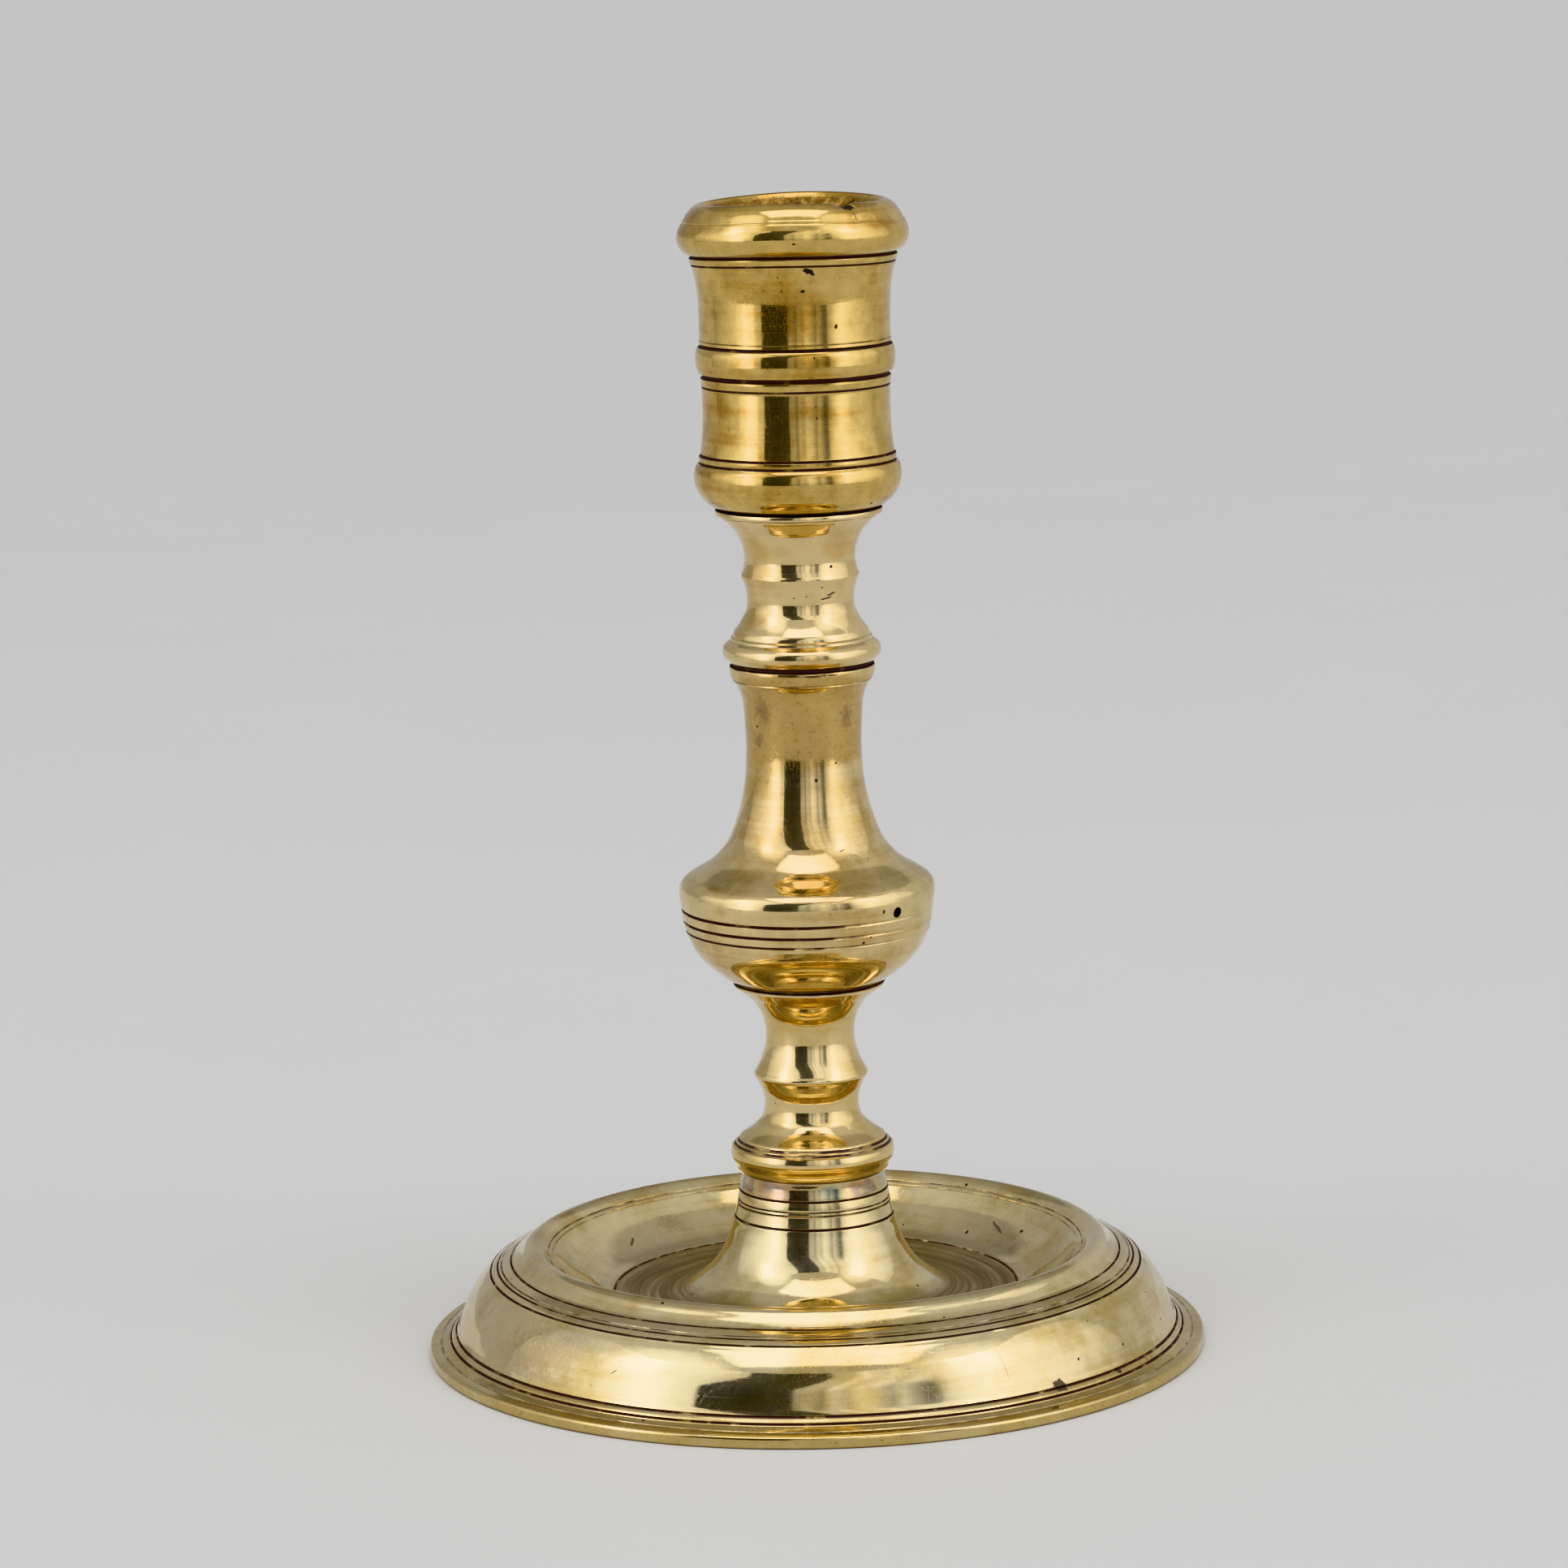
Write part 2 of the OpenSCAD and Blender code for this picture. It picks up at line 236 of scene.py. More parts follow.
def spin_line(steps: int, angle: float) -> None:
    """Spins the line in Edit Mode about the axis and leaves all of it selected."""
    bpy.ops.mesh.select_all(action="SELECT")
    bpy.ops.mesh.spin(steps=steps, angle=angle, center=(0, 0, 0), axis=(0, 0, 1))
    bpy.ops.mesh.select_all(action="SELECT")


def turn(name: str, outline: Outline, segments: int) -> bpy.types.Object:
    """Turns a closed outline into a solid: a point is drawn along it, then spun about the axis.

    Args:
        name: The piece's name.
        outline: The outline's stations, in millimetres, going up the outside.
        segments: Facets round the axis.

    Returns:
        The turned piece.
    """
    piece = start_line(name, (outline[0].r * MM, 0, outline[0].z * MM))
    for here, there in zip(outline, outline[1:] + outline[:1]):
        step = ((there.r - here.r) * MM, 0, (there.z - here.z) * MM)
        bpy.ops.mesh.extrude_region_move(TRANSFORM_OT_translate={"value": step})
    spin_line(segments, TAU)
    bpy.ops.mesh.remove_doubles(threshold=MERGE_MM * MM)
    bpy.ops.mesh.normals_make_consistent(inside=False)
    bpy.ops.object.mode_set(mode="OBJECT")
    return piece


def paint(piece: bpy.types.Object, outline: Outline,
          kept: Callable[[float, float], float] | None = None) -> None:
    """Stores what lies on each point, wax and skin, as attributes that the finishes read.

    Where a line has been polished away, it loses its wax and most of its depth.

    Args:
        piece: A turned piece.
        outline: The outline it was turned from.
        kept: How much of its lines a place has kept, from its bearing in degrees and its height
            in millimetres.
    """
    tree = KDTree(len(outline))
    for index, station in enumerate(outline):
        tree.insert((station.r * MM, station.z * MM, 0), index)
    tree.balance()
    wax, skin = [], []
    for vertex in piece.data.vertices:
        x, y, z = vertex.co
        station = outline[tree.find((math.hypot(x, y), z, 0))[1]]
        share = kept(math.degrees(math.atan2(y, x)), z / MM) if kept and station.wax else 1.0
        if share < 1:
            filled = 1 + (1 - share) * WORN_FILL * station.cut / station.r
            vertex.co.x, vertex.co.y = x * filled, y * filled
        wax.append(station.wax * share)
        skin.append(station.skin.value)
    for name, values in (("wax", wax), ("cast", skin)):
        piece.data.attributes.new(name, "FLOAT", "POINT").data.foreach_set("value", values)


def wear(piece: bpy.types.Object, depth: float, spread: float) -> None:
    """Polishes a piece slightly out of true, always inwards.

    Args:
        piece: The piece to wear.
        depth: The most that is lost, in millimetres.
        spread: Size of the hollows in millimetres.
    """
    texture = bpy.data.textures.new(f"{piece.name}_wear", "CLOUDS")
    texture.noise_scale = spread * MM
    texture.noise_depth = 1
    apply_modifier(piece, "DISPLACE", texture=texture, texture_coords="LOCAL",
                   strength=depth * MM, mid_level=1.0)


def cast(name: str, outline: Outline, segments: int, depth: float,
         spread: float) -> bpy.types.Object:
    """Turns a casting, stores what lies on it and wears it.

    Args:
        name: The piece's name.
        outline: Its outline, at its height on the stick.
        segments: Facets round the axis.
        depth: The most that wear takes, in millimetres.
        spread: Size of the worn hollows in millimetres.

    Returns:
        The worn casting.
    """
    piece = turn(name, outline, segments)
    paint(piece, outline)
    wear(piece, depth, spread)
    return piece


def drill(piece: bpy.types.Object, tool: bpy.types.Object) -> None:
    """Cuts a tool's shape out of a piece and throws the tool away."""
    apply_modifier(piece, "BOOLEAN", object=tool, operation="DIFFERENCE", solver="EXACT")
    bpy.data.objects.remove(tool)


def dent(piece: bpy.types.Object, centre: Vector, radius: float, push: Vector) -> None:
    """Pushes the surface round a point, most at the point and not at all at the radius.

    Args:
        piece: The piece to dent.
        centre: Where it was struck, in metres.
        radius: Reach of the dent in millimetres.
        push: Direction and depth at the centre, in metres.
    """
    reach = radius * MM
    for vertex in piece.data.vertices:
        far = (vertex.co - centre).length / reach
        if far < 1:
            vertex.co += push * (1 - far * far) ** 2


def round_the_axis(radius: float, bearing: float, height: float) -> Vector:
    """A place on a turned surface.

    Args:
        radius: Distance from the axis in millimetres.
        bearing: Bearing from +X in degrees.
        height: Height above the bench in millimetres.

    Returns:
        The place in metres.
    """
    a = math.radians(bearing)
    return Vector((radius * math.cos(a), radius * math.sin(a), height)) * MM


def finish_piece(piece: bpy.types.Object, material: bpy.types.Material, slot: str,
                 *nodes: str) -> None:
    """Shades a piece, dresses it, hangs it on the body's empty and hides the CAD parts that it
    stands for.

    Args:
        piece: The finished mesh.
        material: Its finish.
        slot: The record's material slot that the finish belongs to; not used.
        *nodes: CAD nodes that the piece stands for.
    """
    choose(piece)
    bpy.ops.object.shade_smooth_by_angle(angle=math.radians(SMOOTH_DEG))
    piece.data.materials.clear()
    piece.data.materials.append(material)
    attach(piece, BODY)
    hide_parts(*nodes)
    log.info("%s: %d faces, stands for %s", piece.name, len(piece.data.polygons), nodes)


# ---------------------------------------------------------------- finishes


def linear(hex_colour: str, alpha: float = 1.0) -> tuple[float, float, float, float]:
    """Turns an sRGB hex colour into linear red, green, blue and alpha."""
    parts = (int(hex_colour[i:i + 2], 16) / 255 for i in (1, 3, 5))
    red, green, blue = (c / 12.92 if c <= 0.04045 else ((c + 0.055) / 1.055) ** 2.4 for c in parts)
    return red, green, blue, alpha


@dataclass(frozen=True)
class Graph:
    """The shader nodes of one material or of the sky.

    Attributes:
        tree: The node tree that they stand in.
    """

    tree: bpy.types.NodeTree

    def add(self, kind: str, settings: dict[str, Any] | None = None,
            inputs: dict[int | str, Any] | None = None,
            stops: Sequence[tuple[float, str]] = ()) -> bpy.types.Node:
        """Adds a shader node with its settings, its inputs and its links.

        Args:
            kind: Blender's name for the node, without its "ShaderNode" prefix.
            settings: Properties of the node.
            inputs: Values, hex colours or outputs to link, by input name or number.
            stops: Positions and hex colours of a colour ramp.

        Returns:
            The new node.
        """
        node = self.tree.nodes.new("ShaderNode" + kind)
        for name, value in (settings or {}).items():
            setattr(node, name, value)
        for key, value in (inputs or {}).items():
            if isinstance(value, bpy.types.NodeSocket):
                self.tree.links.new(value, node.inputs[key])
            else:
                node.inputs[key].default_value = linear(value) if isinstance(value, str) else value
        if stops:
            ramp = node.color_ramp
            while len(ramp.elements) < len(stops):
                ramp.elements.new(0.5)
            for element, (place, colour) in zip(ramp.elements, stops):
                element.position, element.color = place, linear(colour)
        return node

    def _first(self, kind: str, settings: dict[str, Any], *values: Value) -> Value:
        """The first output of a new node whose inputs are given in their order."""
        return self.add(kind, settings, dict(enumerate(values))).outputs[0]

    def math(self, operation: str, *values: Value, clamp: bool = False) -> Value:
        """Numbers put together by one of Blender's math operations."""
        return self._first("Math", {"operation": operation, "use_clamp": clamp}, *values)

    def vector(self, operation: str, *values: Value) -> Value:
        """Vectors put together by one of Blender's vector operations."""
        return self._first("VectorMath", {"operation": operation}, *values)

    def measure(self, operation: str, *values: Value) -> Value:
        """A number taken from vectors: a length or a dot product."""
        node = self.add("VectorMath", {"operation": operation}, dict(enumerate(values)))
        return node.outputs["Value"]

    def scaled(self, vector: Value, share: Value) -> Value:
        """A vector or a colour, made longer or shorter."""
        node = self.add("VectorMath", {"operation": "SCALE"}, {0: vector, "Scale": share})
        return node.outputs[0]

    def mix(self, share: Value, one: Value, other: Value) -> Value:
        """A colour between two others; a share of 0 gives the first."""
        return self._first("MixRGB", {}, share, one, other)

    def remap(self, value: Value, low: Value, high: Value, one: Value = 0.0,
              other: Value = 1.0) -> Value:
        """A number that runs evenly from one to the other while the value goes from low to high."""
        return self._first("MapRange", {}, value, low, high, one, other)

    def ease(self, value: Value, low: Value, high: Value, one: Value = 0.0,
             other: Value = 1.0) -> Value:
        """The same, but it starts and stops softly."""
        settings = {"interpolation_type": "SMOOTHSTEP"}
        return self._first("MapRange", settings, value, low, high, one, other)

    def between(self, share: Value, one: Value, other: Value) -> Value:
        """A number between two others; a share of 0 gives the first."""
        return self.remap(share, 0.0, 1.0, one, other)

    def noise(self, vector: Value, size: float, detail: float = 2.0, rough: float = 0.5,
              distortion: float = 0.0, output: int | str = 0) -> Value:
        """Cloudy noise whose lumps have a size in millimetres."""
        return self.add("TexNoise", inputs={
            "Vector": vector, "Scale": 1 / (size * MM), "Detail": detail, "Roughness": rough,
            "Distortion": distortion}).outputs[output]

    def ramp(self, share: Value, *stops: tuple[float, str]) -> Value:
        """A colour from a ramp of positions and hex colours."""
        return self.add("ValToRGB", inputs={0: share}, stops=stops).outputs[0]

    def place(self) -> Value:
        """The place of a point on its piece, in metres."""
        return self.add("TexCoord").outputs["Object"]

    def parts(self, vector: Value) -> Any:
        """The three parts of a vector."""
        return self.add("SeparateXYZ", inputs={0: vector}).outputs

    def stored(self, name: str) -> Value:
        """A number that was stored on the mesh."""
        return self.add("Attribute", {"attribute_name": name}).outputs["Fac"]

    def bump(self, height: Value, distance: float) -> Value:
        """The normal of a surface with a height on it."""
        return self.add("Bump", inputs={
            "Height": height, "Distance": distance, "Strength": 1.0}).outputs[0]

    def shade(self, kind: str, inputs: dict[int | str, Any],
              output: str = "OutputMaterial") -> None:
        """Ends the graph with its shader and its output."""
        shader = self.add(kind, inputs=inputs)
        self.add(output, inputs={"Surface": shader.outputs[0]})


def new_material(name: str) -> tuple[bpy.types.Material, Graph]:
    """An empty node material and its graph."""
    material = bpy.data.materials.new(name)
    material.use_nodes = True
    material.node_tree.nodes.clear()
    return material, Graph(material.node_tree)


class MarkKind(Enum):
    """What a blemish is: how strong its colour is, how deep it goes in millimetres, its colour."""

    PIT = (1.0, 0.12, "#24160F")
    GOUGE = (0.85, 0.07, "#3A2410")
    RUST = (0.9, 0.03, "#2E150B")
    STAIN = (0.34, 0.0, "#96682E")
    BLOOM = (0.45, 0.0, "#5E4A4C")


PIT, GOUGE, RUST, STAIN, BLOOM = MarkKind


class Mark(NamedTuple):
    """One blemish at a known place: kind, radius, bearing, height, width, tallness and slant.

    Lengths are in millimetres and angles in degrees; the bearing is from +X.
    """

    kind: MarkKind
    radius: float
    bearing: float
    height: float
    width: float
    tall: float
    slant: float = 0.0


MarkRow = tuple[Any, ...]


def marks(rows: Sequence[MarkRow]) -> tuple[Mark, ...]:
    """The blemishes that a table lists, one in a row."""
    return tuple(Mark(*row) for row in rows)


class Band(NamedTuple):
    """A tarnished band of a casting, from one height to another in millimetres, and how heavy."""

    low: float
    high: float
    weight: float


@dataclass
class Coat:
    """A finish while it is built: where its patterns lie, and what they have made so far."""

    g: Graph
    place: Value
    lathe: Value            # the place with each ring drawn together, for marks of turning
    radius: Value
    height: Value
    colour: Value = None
    rough: Value = None
    metallic: Value = None
    pits: Value = None      # depth of the pits in metres


@dataclass(frozen=True)
class AgedBrass:
    """Cast brass, turned, then hand polished for two centuries.

    The metal is a pale yellow where it was rubbed last, warmer where a thin tarnish has come back,
    and finely speckled where the polish never quite reached. Old polish has dried dark brown in
    every turned line and pit. Shares run from 0 to 1.
    """

    name: str
    bright: str = "#E7CB90"         # freshly rubbed
    warm: str = "#DDBB74"           # under a thin tarnish
    tarnish: str = "#7A5526"        # specks and clouds
    haze: float = 0.4               # share dulled by fine wear
    specks: float = 0.4             # how thick the specks are
    gloss: float = 0.035            # roughness where it is cleanest
    dull: float = 0.24              # roughness under wear and tarnish
    ripple: float = 0.02            # height of the polishing ripples in millimetres
    bands: tuple[Band, ...] = ()
    heat_band: Point | None = None          # heights in millimetres that heat has tinted
    dirty_floor: Point | None = None        # radii in millimetres between which dirt lies
    marks: tuple[Mark, ...] = ()

    def build(self) -> bpy.types.Material:
        """Makes the material.

        Returns:
            The finished material.
        """
        material, g = new_material(self.name)
        place = g.place()
        parts = g.parts(place)
        flat = g.add("CombineXYZ", inputs={0: parts[0], 1: parts[1]}).outputs[0]
        radius = g.measure("LENGTH", flat)
        line = g.add("CombineXYZ", inputs={0: radius, 2: parts[2]}).outputs[0]
        lathe = g.vector("ADD", line, g.scaled(flat, LATHE_DRIFT))
        coat = Coat(g, place, lathe, radius, parts[2])
        self._metal(coat, self._patches(coat))
        if self.heat_band:
            self._heat(coat, *self.heat_band)
        if self.dirty_floor:
            self._well_dirt(coat, *self.dirty_floor)
        self._skin(coat)
        self._blemishes(coat)
        g.shade("BsdfPrincipled", {
            "Base Color": coat.colour, "Roughness": coat.rough, "Metallic": coat.metallic,
            "Normal": self._relief(coat)})
        return material

    def _patches(self, coat: Coat) -> Value:
        """Soft clouds of tarnish, streaked along the turning, heavier in the listed bands.

        Args:
            coat: The finish so far.

        Returns:
            How tarnished the metal is, from 0 to 1.
        """
        g, soft = coat.g, 1.2
        clouds = g.noise(coat.place, 15, 5.0, 0.62)
        streaks = g.noise(coat.lathe, 1.7, 5.0, 0.65)
        mixed = g.math("MULTIPLY_ADD", streaks, 0.4, clouds)
        patch = g.ease(mixed, 0.62, 0.86)
        for low, high, weight in self.bands:
            rise = g.ease(coat.height, (low - soft) * MM, (low + soft) * MM)
            fall = g.ease(coat.height, (high - soft) * MM, (high + soft) * MM, weight, 0.0)
            inside = g.math("MULTIPLY", rise, fall)
            ragged = g.remap(mixed, 0.45, 0.8, 0.4, 1.3)
            patch = g.math("MULTIPLY_ADD", inside, ragged, patch, clamp=True)
        return patch

    def _metal(self, coat: Coat, patch: Value) -> None:
        """Colour and roughness of the worn metal: clouds, specks, fine wear and hairlines.

        Args:
            coat: The finish so far.
            patch: How tarnished the metal is.
        """
        g = coat.g
        shift = g.math("MULTIPLY_ADD", patch, 0.09, g.noise(coat.place, 0.75, 7.0, 0.75))
        speck = g.ease(shift, 0.68 - 0.12 * self.specks, 0.84 - 0.1 * self.specks)
        speck = g.math("MULTIPLY", speck, 0.75)
        colour = g.mix(speck, g.mix(patch, self.bright, self.warm), self.tarnish)
        mottle = g.noise(coat.place, 2.6, 6.0, 0.68)
        coat.colour = g.scaled(colour, g.remap(mottle, 0.34, 0.6, 1 - 0.4 * self.haze, 1.02))
        grain = g.noise(coat.place, 0.28, 4.0, 0.7)
        wear_limit = g.between(patch, 0.7 - 0.14 * self.haze, 0.58 - 0.16 * self.haze)
        worn = g.ease(g.math("SUBTRACT", grain, wear_limit), 0.0, 0.1)
        worn = g.math("MAXIMUM", worn, self._hairlines(coat))
        worn = g.math("MAXIMUM", worn, speck)
        coat.rough = g.between(worn, self.gloss, self.dull)

    @staticmethod
    def _hairlines(coat: Coat) -> Value:
        """Hair-thin scratches: some round the piece from the lathe cloth, some at random slants.

        Args:
            coat: The finish so far.

        Returns:
            How scratched the metal is, from 0 to 1.
        """
        g, total = coat.g, 0.0
        for source, slant, stretch in ((coat.lathe, (0, 0, 0), (1, 1, 14)),
                                       (coat.place, (0.5, 0.9, 0.2), (14, 1, 1)),
                                       (coat.place, (1.9, 0.3, 1.1), (1, 15, 1))):
            way = g.add("Mapping", {"vector_type": "POINT"}, {
                "Vector": source, "Rotation": slant, "Scale": stretch}).outputs[0]
            off = g.math("ABSOLUTE", g.math("SUBTRACT", g.noise(way, 7, distortion=0.3), 0.5))
            total = g.math("MAXIMUM", total, g.remap(off, 0.0, 0.012, 0.8, 0.0))
        return total

    @staticmethod
    def _heat(coat: Coat, low: float, high: float) -> None:
        """Straw, rose and blue-green tints left where a joint was once heated.

        Args:
            coat: The finish so far.
            low: Where the tints begin, in millimetres.
            high: Where they end.
        """
        g = coat.g
        rise = g.ease(coat.height, (low - 0.6) * MM, (low + 0.4) * MM)
        fall = g.ease(coat.height, (high - 0.4) * MM, (high + 0.6) * MM, 0.7, 0.0)
        tint = g.ramp(g.noise(coat.place, 5, 3.0, distortion=0.6), (0.3, "#8FA39A"),
                      (0.42, "#CDBB8A"), (0.5, "#B48C6C"), (0.58, "#80707A"), (0.68, "#BFB084"))
        coat.colour = g.mix(g.math("MULTIPLY", rise, fall), coat.colour, tint)

    @staticmethod
    def _well_dirt(coat: Coat, inner: float, outer: float) -> None:
        """Dull brown dirt on the drip well's floor, in rings that follow the turning.

        Args:
            coat: The finish so far.
            inner: Least radius of the dirt in millimetres.
            outer: Its greatest radius.
        """
        g = coat.g
        reach = g.math("MULTIPLY_ADD", g.noise(coat.place, 4), 1.2 * MM, coat.radius)
        inside = g.ease(reach, (outer + 0.3) * MM, (outer + 1.1) * MM, 1.0, 0.0)
        rise = g.ease(coat.radius, inner * MM, (inner + 3.5) * MM)
        low = g.remap(coat.height, 12 * MM, 10.5 * MM)
        share = g.math("MULTIPLY", g.math("MULTIPLY", inside, rise), low)
        dirt = g.remap(g.noise(coat.lathe, 1.3, 4.0, 0.65), 0.35, 0.62, 0.4, 1.0)
        share = g.math("MULTIPLY", share, dirt)
        coat.colour = g.mix(share, coat.colour, "#80704C")
        coat.rough = g.between(share, coat.rough, 0.42)

    @staticmethod
    def _skin(coat: Coat) -> None:
        """Dark wax in the turned lines, and the sandy skin where the casting was never turned.

        Args:
            coat: The finish so far.
        """
        g, matt = coat.g, 0.55
        held = g.remap(g.noise(coat.place, 3, 5.0), 0.32, 0.58, 0.45, 1.25)
        wax = g.ease(g.math("MULTIPLY", g.stored("wax"), held), 0.1, 0.7)
        cast_skin = g.stored("cast")
        crust = g.ramp(g.noise(coat.place, 1.4, 6.0, 0.7), (0.32, "#3E2C17"), (0.52, "#86683A"),
                       (0.72, "#B89A5C"))
        coat.colour = g.mix(wax, g.mix(cast_skin, coat.colour, crust), "#45251F")
        coat.rough = g.between(wax, g.between(cast_skin, coat.rough, matt), matt)
        coat.metallic = g.between(wax, 1.0, 0.1)

    def _blemishes(self, coat: Coat) -> None:
        """Casting pits scattered by chance, and the single marks, each at its own place.

        Args:
            coat: The finish so far.
        """
        g = coat.g
        cells = g.add("TexVoronoi", inputs={"Vector": coat.place, "Scale": 1 / (4.2 * MM)})
        rare = g.add("SeparateColor", inputs={0: cells.outputs["Color"]}).outputs
        chosen = g.math("GREATER_THAN", rare[0], 0.3)
        reach = g.between(rare[1], 0.02, 0.065)
        spots = g.math("LESS_THAN", cells.outputs["Distance"], reach)
        spots = g.math("MULTIPLY", spots, chosen)
        coat.pits = g.math("MULTIPLY", spots, 0.05 * MM)
        coat.colour = g.mix(spots, coat.colour, "#2A1A10")
        fray = g.vector("SUBTRACT", g.noise(coat.place, 0.7, 3.0, output="Color"), (0.5, 0.5, 0.5))
        for item in self.marks:
            tone, deep, tint = item.kind.value
            loose = g.scaled(fray, min(item.width, item.tall) * 0.9 * MM)
            reach_mm = (max(item.width, item.tall), item.width / 2, item.tall / 2)
            local = g.add("Mapping", {"vector_type": "TEXTURE"}, {
                "Vector": g.vector("ADD", coat.place, loose),
                "Location": round_the_axis(item.radius, item.bearing, item.height),
                "Rotation": (math.radians(item.slant), 0, math.radians(item.bearing)),
                "Scale": tuple(size * MM for size in reach_mm)}).outputs[0]
            core = 0.7 if deep else 0.1
            inside = g.ease(g.measure("LENGTH", local), 1.0, core, 0.0, tone)
            coat.colour = g.mix(inside, coat.colour, tint)
            if deep:
                spots = g.math("MAXIMUM", spots, inside)
                coat.pits = g.math("MULTIPLY_ADD", inside, deep * MM, coat.pits)
        coat.rough = g.between(spots, coat.rough, 0.6)
        coat.metallic = g.between(spots, coat.metallic, 0.15)

    def _relief(self, coat: Coat) -> Value:
        """Polishing ripples, turning lines, fine wear, pits and cast grain, as one height.

        Args:
            coat: The finish so far.

        Returns:
            The surface's normal.
        """
        g = coat.g
        height = g.math("MULTIPLY", g.noise(coat.place, 8), self.ripple * MM)
        lines = g.noise(coat.lathe, 0.5, 3.0)
        height = g.math("MULTIPLY_ADD", lines, 0.0016 * MM, height)
        fine = g.noise(coat.place, 0.9, 3.0)
        height = g.math("MULTIPLY_ADD", fine, 0.002 * MM, height)
        height = g.math("SUBTRACT", height, coat.pits)
        grain = g.math("MULTIPLY", g.noise(coat.place, 0.8, 5.0), g.stored("cast"))
        return g.bump(g.math("MULTIPLY_ADD", grain, 0.2 * MM, height), 1.0)


@dataclass(frozen=True)
class WroughtIron:
    """Hand-forged iron, black from handling, with rust in its grain and worn grey on its edges."""

    name: str = "wrought_iron"
    black: str = "#3A3531"
    grey: str = "#6B655E"
    rust: str = "#6A3A1E"

    def build(self) -> bpy.types.Material:
        """Makes the material.

        Returns:
            The finished material.
        """
        material, g = new_material(self.name)
        place = g.place()
        clouds = g.noise(place, 3, 6.0, 0.65)
        colour = g.ramp(clouds, (0.38, self.black), (0.55, self.grey), (0.66, self.rust))
        rough = g.remap(clouds, 0.35, 0.7, 0.38, 0.8)
        metallic = g.remap(clouds, 0.55, 0.68, 0.95, 0.2)
        grain = g.noise(place, 0.5, 4.0)
        normal = g.bump(grain, 0.06 * MM)
        g.shade("BsdfPrincipled", {
            "Base Color": colour, "Roughness": rough, "Metallic": metallic, "Normal": normal})
        return material


# ---------------------------------------------------------------- the castings
#
# Sizes are in millimetres: an _r is a radius, an _l a length or thickness, an _h or _z a height.


FOOT_MARKS: tuple[MarkRow, ...] = (
    (RUST, 55.6, -50, 4, 3.2, 1.8), (RUST, 55.8, -36.7, 3.6, 1.6, 0.9),
    (PIT, 54.29, -32.9, 6.5, 0.6, 0.5), (PIT, 54.19, -44.7, 6.7, 0.45, 0.4),
    (GOUGE, 54.47, -4.2, 6, 2.4, 0.35, 20), (PIT, 54.31, -16.4, 6.4, 0.5, 0.5),
    (STAIN, 53.6, -141, 8, 26, 9, 8), (GOUGE, 36.5, 38, 11.7, 5, 0.4, 15),
    (PIT, 37, 29, 12.1, 0.8, 0.6), (PIT, 34.6, 46, 10.4, 0.7, 0.6), (STAIN, 35, 24, 10.7, 6, 3),
    (STAIN, 37, 128, 12, 9, 3), (GOUGE, 35.5, 144, 11, 3, 0.3, -20),
    (STAIN, 54.34, -101, 6.2, 7, 2.6), (GOUGE, 53.55, -123.8, 8.1, 1.4, 0.18, 35),
    (GOUGE, 53.38, -59.5, 8.5, 0.12, 5.5, 12), (STAIN, 13, -99.9, 17.7, 1.2, 3.2, 30),
    (RUST, 11.3, -97, 26.9, 4.6, 0.5),
)

BALUSTER_MARKS: tuple[MarkRow, ...] = (
    (BLOOM, 9.2, -133, 99.5, 5, 6.5), (BLOOM, 9, -140, 95, 3.4, 3.6),
    (BLOOM, 9, -44, 98.5, 3.4, 5), (PIT, 8.83, -57.4, 91.5, 0.35, 0.3),
    (GOUGE, 11.9, -62.8, 78.7, 1.3, 0.2, 12), (PIT, 19.48, -54, 70.2, 0.6, 0.8),
    (PIT, 18.73, -63.8, 65.7, 0.55, 0.45), (PIT, 18.9, -60.3, 66.5, 0.35, 0.3),
    (RUST, 11.04, -82, 105.2, 3.4, 0.35), (RUST, 11.04, -66, 105.25, 2.2, 0.3),
)

SPOOL_MARKS: tuple[MarkRow, ...] = (
    (GOUGE, 8.2, -56, 117.1, 2.2, 0.36, 14), (GOUGE, 8.2, -61, 116.5, 2.2, 0.38, 14),
    (GOUGE, 8.15, -66, 116.4, 0.9, 0.2, 14), (PIT, 8.42, -56.4, 121.2, 0.55, 0.45),
    (PIT, 8.51, -67.5, 118.2, 0.3, 0.25), (PIT, 8.21, -84, 116.9, 0.3, 0.2),
    (PIT, 8.21, -97, 116.7, 0.45, 0.15),
)

SOCKET_MARKS: tuple[MarkRow, ...] = (
    (PIT, 15.2, -82, 166, 1.9, 0.8, -8), (PIT, 15.1, -79.3, 165.6, 0.9, 0.5, -20),
    (PIT, 14.39, -65, 157.7, 0.7, 0.7), (PIT, 17.44, -100.1, 170.9, 0.25, 0.2),
    (PIT, 17.31, -89.6, 170.2, 0.6, 0.4), (PIT, 14.62, -97.1, 163.1, 0.25, 0.5),
    (PIT, 14.94, -99.1, 165.1, 0.25, 0.25), (PIT, 14.63, -84.9, 163, 0.8, 0.6),
    (PIT, 15.05, -79.3, 153.2, 0.3, 0.45), (PIT, 14.13, -78.4, 145.9, 0.4, 0.25),
    (PIT, 14.15, -77.6, 144.2, 0.4, 0.4), (GOUGE, 16.2, -55.2, 173.9, 0.2, 1.9, 14),
    (PIT, 14.9, -57.2, 175.1, 2.6, 0.9),
)


